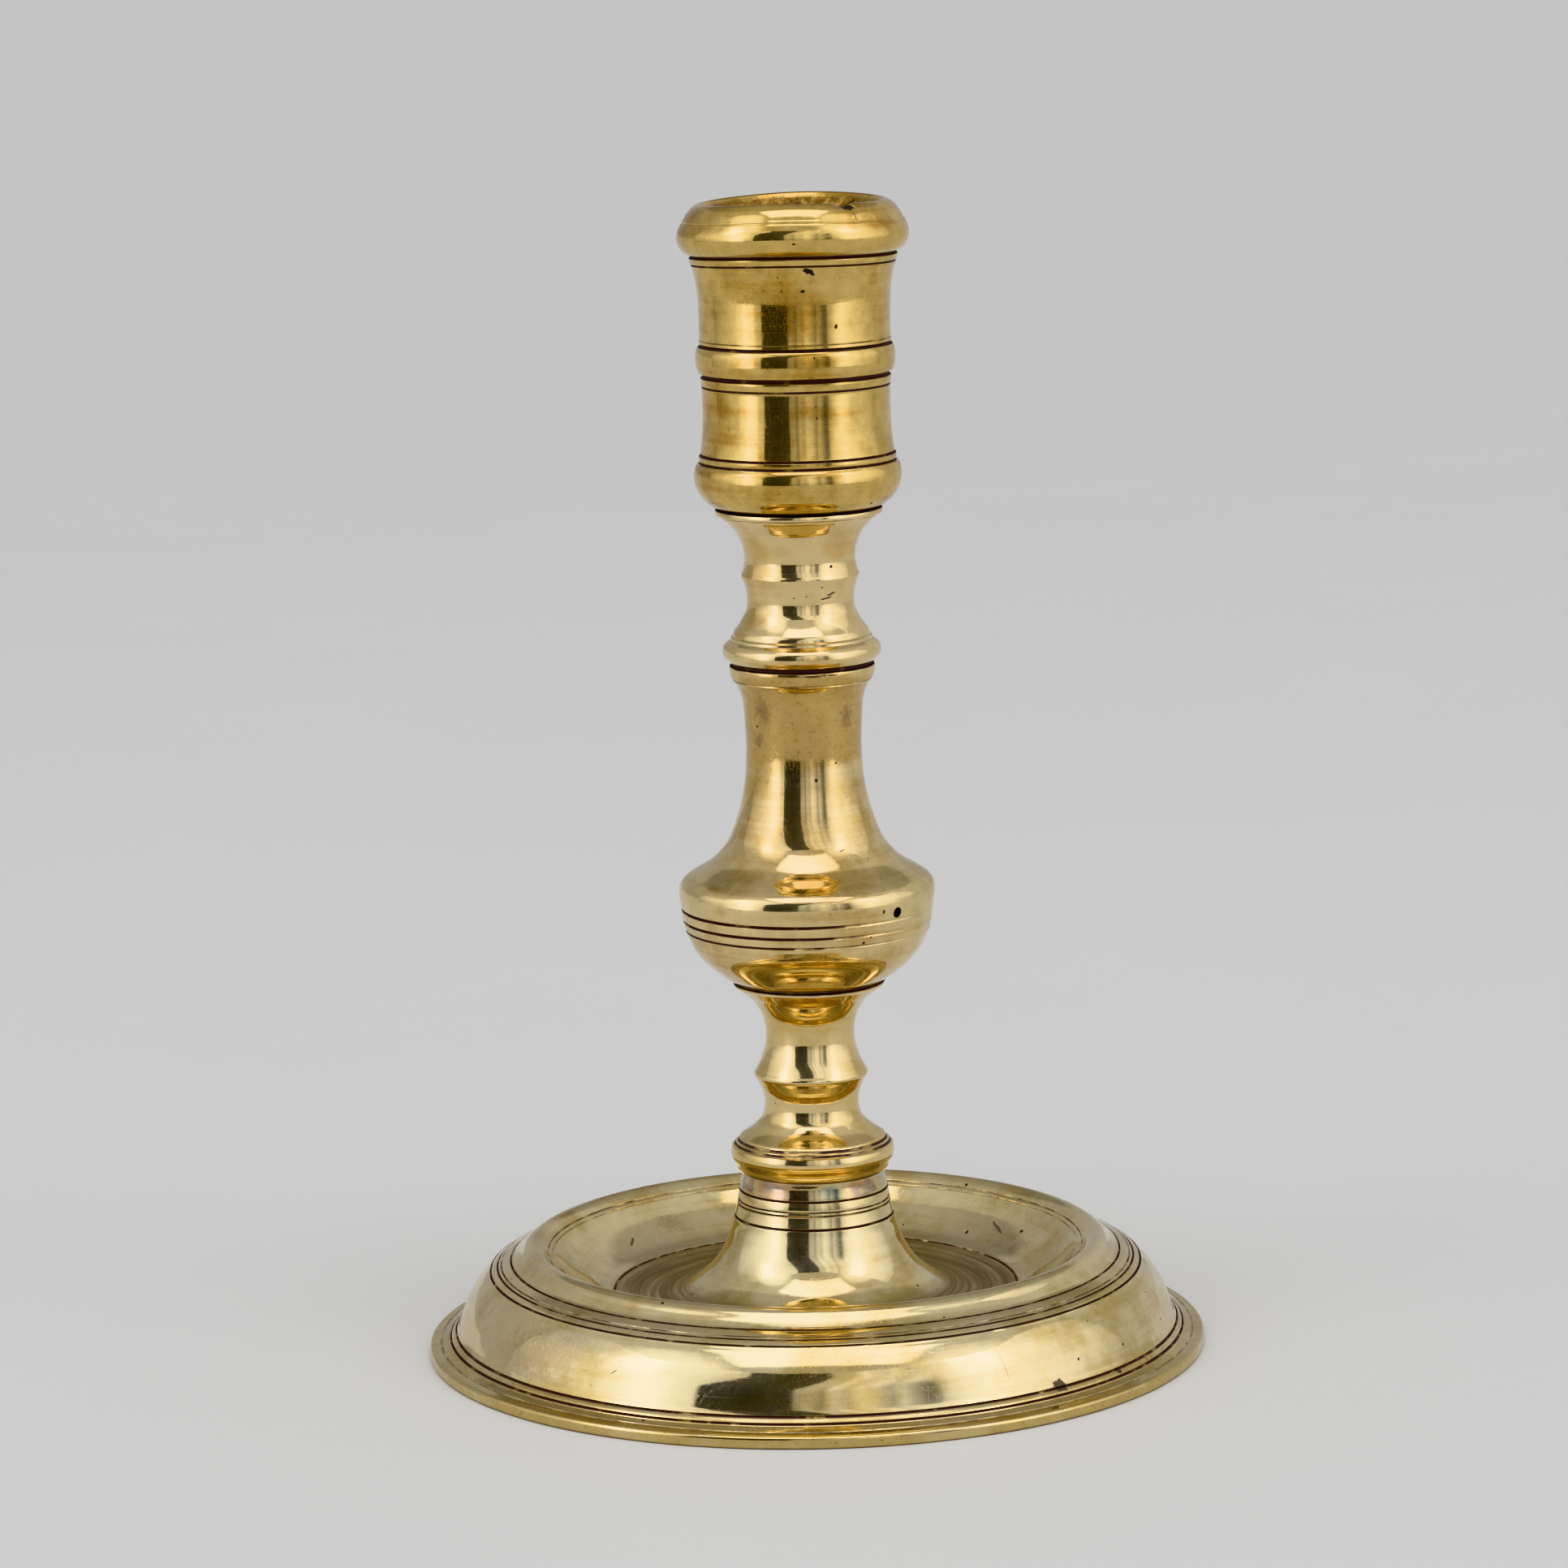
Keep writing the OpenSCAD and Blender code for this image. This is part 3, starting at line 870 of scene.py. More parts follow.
@dataclass
class Foot:
    """The foot: flange, rounded wall, stepped rim, drip well, bell-shaped rise and neck."""

    radius: float = 59.6
    height: float = 27.4    # the neck's seat
    crest_r: float = 43.2   # the rim's crest
    crest_h: float = 16.85
    well_r: float = 30.9    # the drip well's floor
    well_h: float = 8.4
    boss_h: float = 18.2    # underside of the solid neck
    spigot_r: float = 6.0   # recess for the spool

    def _flange_and_wall(self) -> Outline:
        """The edge on the bench, its lines, and the rounded wall above."""
        r = self.radius
        return [
            *corner((r - 0.5, 0.5), 0.5, -90, 0),
            *corner((r - 0.6, 1.35), 0.6, 0, 90),
            *groove((r - 1.6, 2.08), (r - 2.0, 2.19), 0.12, 0.4),
            Station(r - 3, 2.6, 0.3),
            *groove((r - 3.08, 2.73), (r - 3.4, 3.05), 0.28, 0.85),
            *straight([(r - 3.55, 3.25, 0.3), (r - 3.8, 3.5, 0.25)]),
            *groove((r - 3.94, 3.6), (r - 4.24, 3.93), 0.28, 0.8),
            *sweep([(r - 4.6, 4.5), (r - 5.2, 6.2), (r - 6, 8.1), (r - 7.2, 10.1),
                    (r - 8.5, 11.7), (r - 9.3, 12.45)]),
        ]

    def _rim(self) -> Outline:
        """The stepped lines outside the rim, its rounded crest and the fine pair inside it."""
        r, h = self.crest_r, self.crest_h
        return [
            *groove((r + 6.92, 12.68), (r + 6.6, 12.88), 0.26, 0.85),
            *groove((r + 5.82, 13.37), (r + 5.54, 13.52), 0.22, 0.75),
            *groove((r + 5.2, 13.67), (r + 4.97, 13.77), 0.12, 0.5),
            *groove((r + 3.74, 14.32), (r + 3.44, 14.48), 0.26, 0.75),
            *sweep([(r + 3.1, h - 2.25), (r + 2.1, h - 1.4), (r + 1.2, h - 0.45), (r, h),
                    (r - 1.1, h - 0.35), (r - 2, h - 1.05)]),
            *groove((r - 2.12, h - 1.16), (r - 2.33, h - 1.31), 0.1, 0.45),
            *groove((r - 2.72, h - 1.61), (r - 2.93, h - 1.79), 0.1, 0.35),
        ]

    def _well_and_rise(self) -> Outline:
        """The drip well, its floor, and the bell that rises from it to the neck."""
        r, w, h = self.crest_r, self.well_r, self.well_h
        return [
            *sweep([(r - 3.2, self.crest_h - 2.05), (r - 5.2, self.crest_h - 4),
                    (r - 7.5, self.crest_h - 5.75), (w + 2.6, h + 1.4), (w + 0.4, h + 0.75)]),
            *groove((w + 0.2, h + 0.68), (w - 0.15, h + 0.52), 0.16, 0.7),
            *sweep([(w - 0.6, h + 0.42), (w - 3.4, h + 0.06), (w - 6.4, h - 0.02),
                    (w - 9, h + 0.42), (20.1, 9.5), (17.4, 11.25), (15.4, 13.2), (13.75, 15.9),
                    (12.7, 18.8), (12.35, 20.2)]),
            *groove((12.31, 20.34), (12.22, 20.7), 0.3, 0.9),
            *sweep([(12.17, 20.85), (11.95, 21.7), (11.8, 22.35)], 4),
            *groove((11.8, 22.4), (11.76, 22.65), 0.14, 0.6),
            *groove((11.7, 22.95), (11.66, 23.2), 0.14, 0.6),
            *groove((11.47, 24.5), (11.41, 24.82), 0.3, 0.9),
            *sweep([(11.2, 25.4), (11, self.height - 1), (10.95, self.height)], 4),
        ]

    def _inside(self) -> Outline:
        """The seat, its recess, the rod's hole and the hollow underside, back to the bench."""
        r, w, h, c = self.radius, self.well_r, self.well_h, self.crest_r
        return [
            *peg(self.spigot_r + SPIGOT_GAP, self.height, -RECESS_L),
            *straight([(ROD_HOLE_R, self.boss_h), (9.4, self.boss_h)], Skin.AS_CAST),
            *sweep([(10.2, self.boss_h - 0.8), (11.2, 16), (12.3, 13.6), (14, 11.2), (16, 9.2),
                    (18.5, 7.5), (21.8, 6.3), (w - 5.5, h - 2.4), (w + 0.6, h - 1.9),
                    (w + 4, h - 0.5), (c - 5.2, h + 2.1), (c - 2.7, self.crest_h - 3.6),
                    (c - 0.4, self.crest_h - 2.6), (c + 1.6, self.crest_h - 3.5), (c + 4.6, 12),
                    (r - 10.6, 10.5), (r - 8.5, 8), (r - 7.4, 5), (r - 6.2, 1.6), (r - 5.2, 0.02)],
                   5, Skin.AS_CAST),
        ]

    def make(self) -> None:
        """Turns, wears and dresses the foot."""
        outline = [*self._flange_and_wall(), *self._rim(), *self._well_and_rise(), *self._inside()]
        piece = cast("cast_foot", outline, 288, 0.05, 14)
        brass = AgedBrass(
            "foot_polished_brass", bright="#E4D2A6", warm="#CCB47A", haze=0.2, specks=0.3,
            ripple=0.035, bands=(Band(-1, 3.6, 0.8), Band(20, 27.4, 0.35)), heat_band=(24.9, 27.4),
            dirty_floor=(17.5, 30.9), marks=marks(FOOT_MARKS))
        finish_piece(piece, brass.build(), "foot_brass", "foot")


@dataclass
class LowerStem:
    """The spool between the foot and the baluster, with its collar."""

    seat: float = 27.4      # on the foot's neck
    height: float = 29.5    # between the two seats
    collar_r: float = 12.55
    foot_spigot_r: float = 6.0
    top_spigot_r: float = 5.0

    def outline(self) -> Outline:
        """The section's closed outline, from its seat."""
        c, h = self.collar_r, self.height
        return [
            *peg(self.foot_spigot_r, 0, -SPIGOT_L)[::-1],
            *straight([(c - 1.75, 0, 0.8), (c - 1.15, 0.25, 0.3)]),
            *sweep([(c - 0.95, 0.6), (c - 0.75, 1.25), (c - 0.1, 2.3), (c, 3.2), (c - 0.2, 4.05)]),
            *groove((c - 0.5, 4.25), (c - 0.78, 4.62), 0.16, 0.6),
            *groove((c - 1.05, 4.78), (c - 1.3, 5.2), 0.16, 0.6),
            *sweep([(11, 5.5), (9.55, 6.45), (8.4, 7.5), (7.6, 8.6), (7.2, 10.5), (7.5, 12.5),
                    (8.1, 13.9), (8.5, 14.6)]),
            *straight([(8.66, 14.85), (8.72, 15.1), (8.72, 15.3), (8.66, 15.5)]),
            *sweep([(8.45, 15.75), (7.6, 17.5), (6.95, 19.6), (6.78, 21.3), (6.87, 22.7),
                    (7.45, h - 4.8), (8.75, h - 2.8), (10, h - 1.7), (11.2, h - 0.75)]),
            *straight([(11.55, h - 0.55), (11.6, h - 0.4), (11.6, h - 0.2, 0.4),
                       (11.35, h - 0.02, 1.0)]),
            *peg(self.top_spigot_r, h, SPIGOT_L),
        ]

    def make(self) -> None:
        """Turns, wears and dresses the spool."""
        piece = cast("lower_spool", raised(self.outline(), self.seat), 224, 0.03, 9)
        brass = AgedBrass("lower_spool_polished_brass", bright="#E6CF9C", warm="#D8BD80",
                          haze=0.1, specks=0.1)
        finish_piece(piece, brass.build(), "stem_brass", "lower_stem")


@dataclass
class Baluster:
    """The hollow-cast baluster: a bowl, a shoulder and a trumpet-shaped neck."""

    seat: float = 56.9      # on the lower spool
    height: float = 48.8    # between the two seats
    belly_r: float = 19.5
    waist_r: float = 8.8
    spigot_r: float = 5.0
    hole_r: float = 0.8     # core-pin holes
    hole_z: float = 12.8    # above the seat
    hole_bearing: float = -46  # of the open hole; the plug is opposite
    plug_l: float = 3.2

    def outline(self) -> Outline:
        """The section's closed outline, from its seat."""
        b, w, h = self.belly_r, self.waist_r, self.height
        spigot = self.spigot_r + SPIGOT_GAP
        return [
            *straight([(11.35, 0.02, 1.0), (11.6, 0.2, 0.8), (11.75, 0.38, 0.2)]),
            *sweep([(12.1, 0.52), (13.6, 1.5), (15.8, 3.4), (17.3, 5.3), (18.35, 7.5),
                    (18.6, 8.2)]),
            *groove((18.61, 8.22), (18.72, 8.58), 0.2),
            *groove((18.96, 9.68), (19.05, 10.12), 0.34),
            *groove((19.19, 11.42), (19.25, 11.88), 0.34),
            *sweep([(19.28, 12.2), (b - 0.03, 13.3), (b, 14.4), (b - 0.25, 15.45), (18.45, 16.35),
                    (17, 17.3), (15.3, 18.3), (13.9, 19.4), (12.2, 21.35), (11.15, 23.4),
                    (9.85, 27.3), (w + 0.28, 31.4), (w, 36), (w + 0.1, 39.6), (w + 0.25, h - 6.6),
                    (w + 0.45, h - 5), (9.8, h - 3.5), (10.35, h - 2.5)]),
            *groove((10.58, h - 2.32), (10.76, h - 1.98), 0.14, 0.3),
            *sweep([(10.9, h - 1.6), (11.05, h - 0.9), (11.05, h - 0.25)], 4),
            Station(10.95, h - 0.06, 0.8),
            *peg(spigot, h, -RECESS_L),
            *straight([(ROD_HOLE_R, h - 5.8), (4.4, h - 5.8)], Skin.AS_CAST),
            *sweep([(5.8, h - 7), (5.8, 36), (6.2, 31), (7.2, 26), (8.6, 22), (10.4, 19),
                    (12.6, 17), (15.4, 15.2), (b - 3, 13.6), (16, 11), (14.4, 8.6), (11.5, 6.9),
                    (9, 6.4)], 4, Skin.AS_CAST),
            Station(ROD_HOLE_R, 6.4, skin=Skin.AS_CAST),
            *peg(spigot, 0, RECESS_L)[::-1],
        ]

    def _core_hole(self, bearing: float) -> bpy.types.Object:
        """The round tool that opens a core-pin hole."""
        middle = round_the_axis(16, bearing, self.seat + self.hole_z)
        return primitive(
            "cylinder", "core_pin", vertices=40, radius=self.hole_r * MM, depth=12 * MM,
            location=middle, rotation=(0, QUARTER, math.radians(bearing)))

    @staticmethod
    def _kept_lines(bearing: float, height: float) -> float:
        """The belly's lines are full on one side and rubbed nearly flat on the other."""
        lines_low, lines_high, full_side, least = 64, 70, -165, 0.06
        if not lines_low < height < lines_high:
            return 1.0
        towards = (1 + math.cos(math.radians(bearing - full_side))) / 2
        return least + (1 - least) * min(1.0, towards * 1.35) ** 2

    def make(self) -> None:
        """Turns, drills, wears and dresses the baluster, and files the plug flush."""
        outline = raised(self.outline(), self.seat)
        piece = turn("hollow_baluster", outline, 240)
        for bearing in (self.hole_bearing, self.hole_bearing + 180):
            drill(piece, self._core_hole(bearing))
        paint(piece, outline, self._kept_lines)
        wear(piece, 0.05, 11)
        brass = AgedBrass("baluster_polished_brass", bright="#E5CE9A", warm="#CDAE72",
                          haze=0.3, specks=0.4, bands=(Band(91.5, 104.5, 1.0),),
                          marks=marks(BALUSTER_MARKS))
        finish_piece(piece, brass.build(), "stem_brass", "baluster")
        self._make_plug()

    def _make_plug(self) -> None:
        """The brass pin that fills the hole behind, its end filed to a slight crown."""
        bearing = self.hole_bearing + 180
        middle = round_the_axis(self.belly_r - 0.15 - self.plug_l / 2, bearing,
                                self.seat + self.hole_z)
        plug = primitive(
            "cylinder", "core_hole_plug", vertices=48, radius=(self.hole_r - 0.03) * MM,
            depth=self.plug_l * MM, location=middle,
            rotation=(0, QUARTER, math.radians(bearing)))
        settle(plug)
        apply_modifier(plug, "BEVEL", width=0.12 * MM, segments=3, limit_method="ANGLE",
                       angle_limit=math.radians(60))
        for name in ("wax", "cast"):
            plug.data.attributes.new(name, "FLOAT", "POINT")
        brass = AgedBrass("plug_filed_brass", bright="#CFAA66", warm="#AE8747", haze=0.8,
                          specks=0.6, gloss=0.12, ripple=0.004)
        finish_piece(plug, brass.build(), "plug_brass", "core_plug")


@dataclass
class UpperStem:
    """The spool between the baluster and the socket, with its bead and flange."""

    seat: float = 105.7     # on the baluster
    height: float = 23.7    # between the two seats
    bead_r: float = 12.05
    foot_spigot_r: float = 5.0
    top_spigot_r: float = 6.0

    def outline(self) -> Outline:
        """The section's closed outline, from its seat."""
        b, h = self.bead_r, self.height
        return [
            *peg(self.foot_spigot_r, 0, -SPIGOT_L)[::-1],
            *straight([(10.6, 0.02, 1.0), (10.65, 0.36, 1.0), (10.85, 0.54, 0.9),
                       (11.12, 0.64, 0.3)]),
            *sweep([(11.25, 0.72), (11.4, 0.9), (b - 0.1, 1.5), (b, 2.2), (b - 0.15, 2.9),
                    (b - 0.7, 3.5)]),
            *straight([(10.95, 3.72), (10.78, 3.85, 0.4), (10.75, 4.0), (10.75, 4.25),
                       (10.62, 4.38), (10.42, 4.47, 0.4), (10.4, 4.6), (10.38, 4.85)]),
            *sweep([(10.1, 5.4), (9.4, 6.3), (8.8, 7.3), (8.3, 8.4), (8.1, 9.8), (8.25, 11.3),
                    (8.5, 12.4), (8.75, 13.1)]),
            *straight([(8.9, 13.35), (8.96, 13.55), (8.96, 13.7), (8.9, 13.9)]),
            *sweep([(8.8, 14.1), (8.5, 15.2), (8.4, 16.3), (8.7, h - 5.5), (9.6, h - 3.5),
                    (10.4, h - 2.5), (11.3, h - 1.6)]),
            *straight([(11.75, h - 1.28), (11.88, h - 1.15), (11.9, h - 0.98, 0.3),
                       (12.05, h - 0.86, 0.3), (12.5, h - 0.8), (12.66, h - 0.7), (12.7, h - 0.55),
                       (12.7, h - 0.2), (12.62, h - 0.04, 0.3), (12.4, h, 1.0), (11.2, h, 1.0)]),
            *peg(self.top_spigot_r, h, SPIGOT_L),
        ]

    def make(self) -> None:
        """Turns, wears and dresses the spool."""
        piece = cast("upper_spool", raised(self.outline(), self.seat), 224, 0.03, 9)
        brass = AgedBrass("upper_spool_polished_brass", bright="#E6CE9A", warm="#D7B678",
                          haze=0.15, specks=0.15, marks=marks(SPOOL_MARKS))
        finish_piece(piece, brass.build(), "stem_brass", "upper_stem")


@dataclass
class Socket:
    """The candle socket: a moulded base, a barrel with a band, and a rounded lip."""

    seat: float = 129.4     # on the upper spool
    height: float = 46.6
    bore_r: float = 11.4
    floor: float = 10.0     # above the seat
    lip_r: float = 17.45    # rounded band below the lip
    mouth_r: float = 13.0   # where the mouth opens
    mouth_l: float = 4.0    # over which it opens out
    head_r: float = 4.9     # counterbore for the rod's head
    head_l: float = 2.5
    spigot_r: float = 6.0

    def outline(self) -> Outline:
        """The section's closed outline, from its seat."""
        lip, h, bore = self.lip_r, self.height, self.bore_r
        return [
            *straight([(11.35, 0.0, 1.0), (11.4, 0.25, 1.0), (11.5, 0.42, 1.0), (12.6, 0.45, 1.0),
                       (12.95, 0.5, 0.4)]),
            *sweep([(13.3, 0.7), (14.25, 1.5), (15.05, 2.6), (15.55, 4), (15.68, 5.3),
                    (15.5, 6.4), (15.15, 7)]),
            *groove((14.95, 7.05), (14.9, 7.45), 0.32, 0.9),
            *groove((14.86, 8.2), (14.65, 8.58), 0.32, 0.9),
            *sweep([(14.6, 8.7), (14.35, 11), (14.18, 14), (14.18, 18.2)]),
            *groove((14.2, 18.45), (14.26, 18.78), 0.18),
            *groove((14.36, 19.9), (14.44, 20.6), 0.42),
            *sweep([(14.7, 20.7), (15, 21.7), (15.07, 22.8), (15, 23.9), (14.75, 24.5)]),
            *groove((14.68, 24.6), (14.5, 25.1), 0.4),
            *groove((14.47, 25.5), (14.46, 25.72), 0.1, 0.4),
            *sweep([(14.43, 26.2), (14.42, 28.5), (14.5, 32), (14.8, 34.9), (15.2, 36.7)]),
            *groove((15.38, 37.2), (15.48, 37.5), 0.2, 0.85),
            Station(15.64, 37.8),
            *groove((15.68, 38.36), (15.84, 38.92), 0.42),
            *sweep([(16.12, 39.02), (16.75, 39.55), (lip - 0.2, 40.5), (lip, 41.5),
                    (lip - 0.15, 42.5), (lip - 0.6, h - 3.1)]),
            *groove((16.72, h - 2.88), (16.55, h - 2.58), 0.12, 0.12),
            *sweep([(16.4, h - 2.35), (15.85, h - 1.4), (15.2, h - 0.65), (14.6, h - 0.2),
                    (14.1, h), (13.85, h - 0.03)]),
            *straight([(13.65, h - 0.15), (self.mouth_r + 0.5, h - 0.35)]),
            *straight([(self.mouth_r + 0.2, h - 0.9), (bore + 0.9, h - 2), (bore + 0.3, h - 3.2),
                       (bore, h - self.mouth_l - 0.4),
                       (bore, h - 10), (bore, h - 20), (bore, self.floor + 1)], Skin.AS_CAST),
            *corner((bore - 1, self.floor + 1), 1, 0, -90, 5)[1:],
            *straight([(self.head_r, self.floor), (self.head_r, self.floor - self.head_l),
                       (ROD_HOLE_R, self.floor - self.head_l)], Skin.AS_CAST),
            *peg(self.spigot_r + SPIGOT_GAP, 0, RECESS_L)[::-1],
        ]

    def make(self) -> None:
        """Turns, chips, wears and dresses the socket."""
        piece = cast("candle_socket", raised(self.outline(), self.seat), 240, 0.05, 10)
        for bearing, height, reach, depth in ((175, 177, 24, 0.75), (-10, 177, 24, 0.45),
                                              (-57, 175.2, 1.7, 0.6), (-61, 175.3, 1.5, 0.35)):
            dent(piece, round_the_axis(14, bearing, height), reach, Vector((0, 0, -depth * MM)))
        brass = AgedBrass("socket_polished_brass", bright="#DDBE78", warm="#BD934C",
                          haze=0.5, specks=0.6, marks=marks(SOCKET_MARKS))
        finish_piece(piece, brass.build(), "socket_brass", "socket")


@dataclass
class TieRod:
    """The iron rod, its washer and its square nut."""

    radius: float = 2.5
    end_z: float = 10.6     # lower end
    head_z: float = 136.9   # underside of the head
    head_r: float = 4.6
    head_l: float = 2.2
    slot_w: float = 1.0
    pitch: float = 1.0
    turns: int = 9
    depth: float = 0.3      # of the thread
    boss_z: float = 18.2    # underside of the foot's neck
    washer_r: float = 6.5
    washer_l: float = 1.4
    nut_w: float = 9.0
    nut_l: float = 3.6

    def make(self) -> None:
        """Makes the rod, the washer and the nut in forged iron."""
        iron = WroughtIron().build()
        finish_piece(self._rod(), iron, "iron", "tie_rod")
        finish_piece(self._washer(), iron, "iron", "rod_washer")
        finish_piece(self._nut(), iron, "iron", "rod_nut")

    def _rod(self) -> bpy.types.Object:
        """A turned shank with a slotted head and a cut thread."""
        r, low, high = self.radius, self.end_z, self.head_z
        top = high + self.head_l
        thread_top = low + 1 + self.turns * self.pitch
        outline = [
            *straight([(0.02, low), (r - 0.7, low), (r - self.depth - 0.02, low + 0.5),
                       (r - self.depth - 0.02, thread_top), (r, thread_top + 0.5), (r, high),
                       (self.head_r, high)]),
            *sweep([(self.head_r, top - 0.6), (self.head_r - 0.15, top - 0.2),
                    (self.head_r - 0.6, top)], 4),
            *straight([(0.02, top)]),
        ]
        rod = turn("tie_rod_with_head", outline, 64)
        cutter = primitive("cube", "slot", size=1, location=(0, 0, top * MM))
        cutter.scale = (20 * MM, self.slot_w * MM, 2 * MM)
        settle(cutter)
        drill(rod, cutter)
        thread = self._thread(low + 0.8)
        choose(rod)
        thread.select_set(True)
        bpy.ops.object.join()
        return rod

    def _thread(self, base: float) -> bpy.types.Object:
        """A ridge of triangular section wound round the shank by the Screw modifier."""
        root = self.radius - self.depth - 0.05
        ridge = primitive("circle", "thread", vertices=3, radius=0.5 * self.pitch * MM,
                          location=(0, 0, 0), rotation=(QUARTER, 0, 0))
        settle(ridge)
        corners = ((root, 0.0), (root, 0.9 * self.pitch), (self.radius - 0.01, 0.45 * self.pitch))
        for vertex, (r, z) in zip(ridge.data.vertices, corners):
            vertex.co = Vector((r, 0, base + z)) * MM
        apply_modifier(ridge, "SCREW", steps=32, render_steps=32, iterations=self.turns,
                       screw_offset=self.pitch * MM, axis="Z", use_merge_vertices=False)
        choose(ridge)
        bpy.ops.object.mode_set(mode="EDIT")
        bpy.ops.mesh.select_all(action="DESELECT")
        bpy.ops.mesh.select_non_manifold()
        bpy.ops.mesh.edge_face_add()
        bpy.ops.mesh.select_all(action="SELECT")
        bpy.ops.mesh.normals_make_consistent(inside=False)
        bpy.ops.object.mode_set(mode="OBJECT")
        return ridge

    def _washer(self) -> bpy.types.Object:
        """A punched ring with one rounded face and one burred face."""
        low, high, r = self.boss_z - self.washer_l, self.boss_z - 0.01, self.washer_r
        outline = [
            *straight([(ROD_HOLE_R, low + 0.1), (ROD_HOLE_R + 0.1, low)]),
            *corner((r - 0.35, low + 0.35), 0.35, -90, 0, 4),
            *corner((r - 0.15, high - 0.15), 0.15, 0, 90, 3),
            *straight([(ROD_HOLE_R, high)]),
        ]
        return turn("iron_washer", outline, 64)

    def _nut(self) -> bpy.types.Object:
        """A square nut, its corners chamfered by the file, with a clear hole."""
        middle = self.boss_z - self.washer_l - self.nut_l / 2
        nut = primitive("cube", "square_nut", size=1, location=(0, 0, middle * MM))
        nut.scale = (self.nut_w * MM, self.nut_w * MM, (self.nut_l - 0.02) * MM)
        settle(nut)
        apply_modifier(nut, "BEVEL", width=0.45 * MM, segments=3)
        drill(nut, primitive("cylinder", "nut_hole", vertices=64, radius=(self.radius + 0.05) * MM,
                             depth=3 * self.nut_l * MM, location=(0, 0, middle * MM)))
        return nut


# ---------------------------------------------------------------- the studio


class Panel(NamedTuple):
    """A soft box overhead, as it would lie on a ceiling one metre up; lengths in metres."""

    middle: Point
    half: Point
    edge: float
    glow: float


class Lobe(NamedTuple):
    """Light from one side: bearing and elevation of its middle, its bright core and its reach.

    Bearings are degrees round from the camera, positive to its right. Core and reach are angles
    from the middle in degrees; glow is the brightness of the core.
    """

    bearing: float
    elevation: float
    core: float
    reach: float
    glow: float


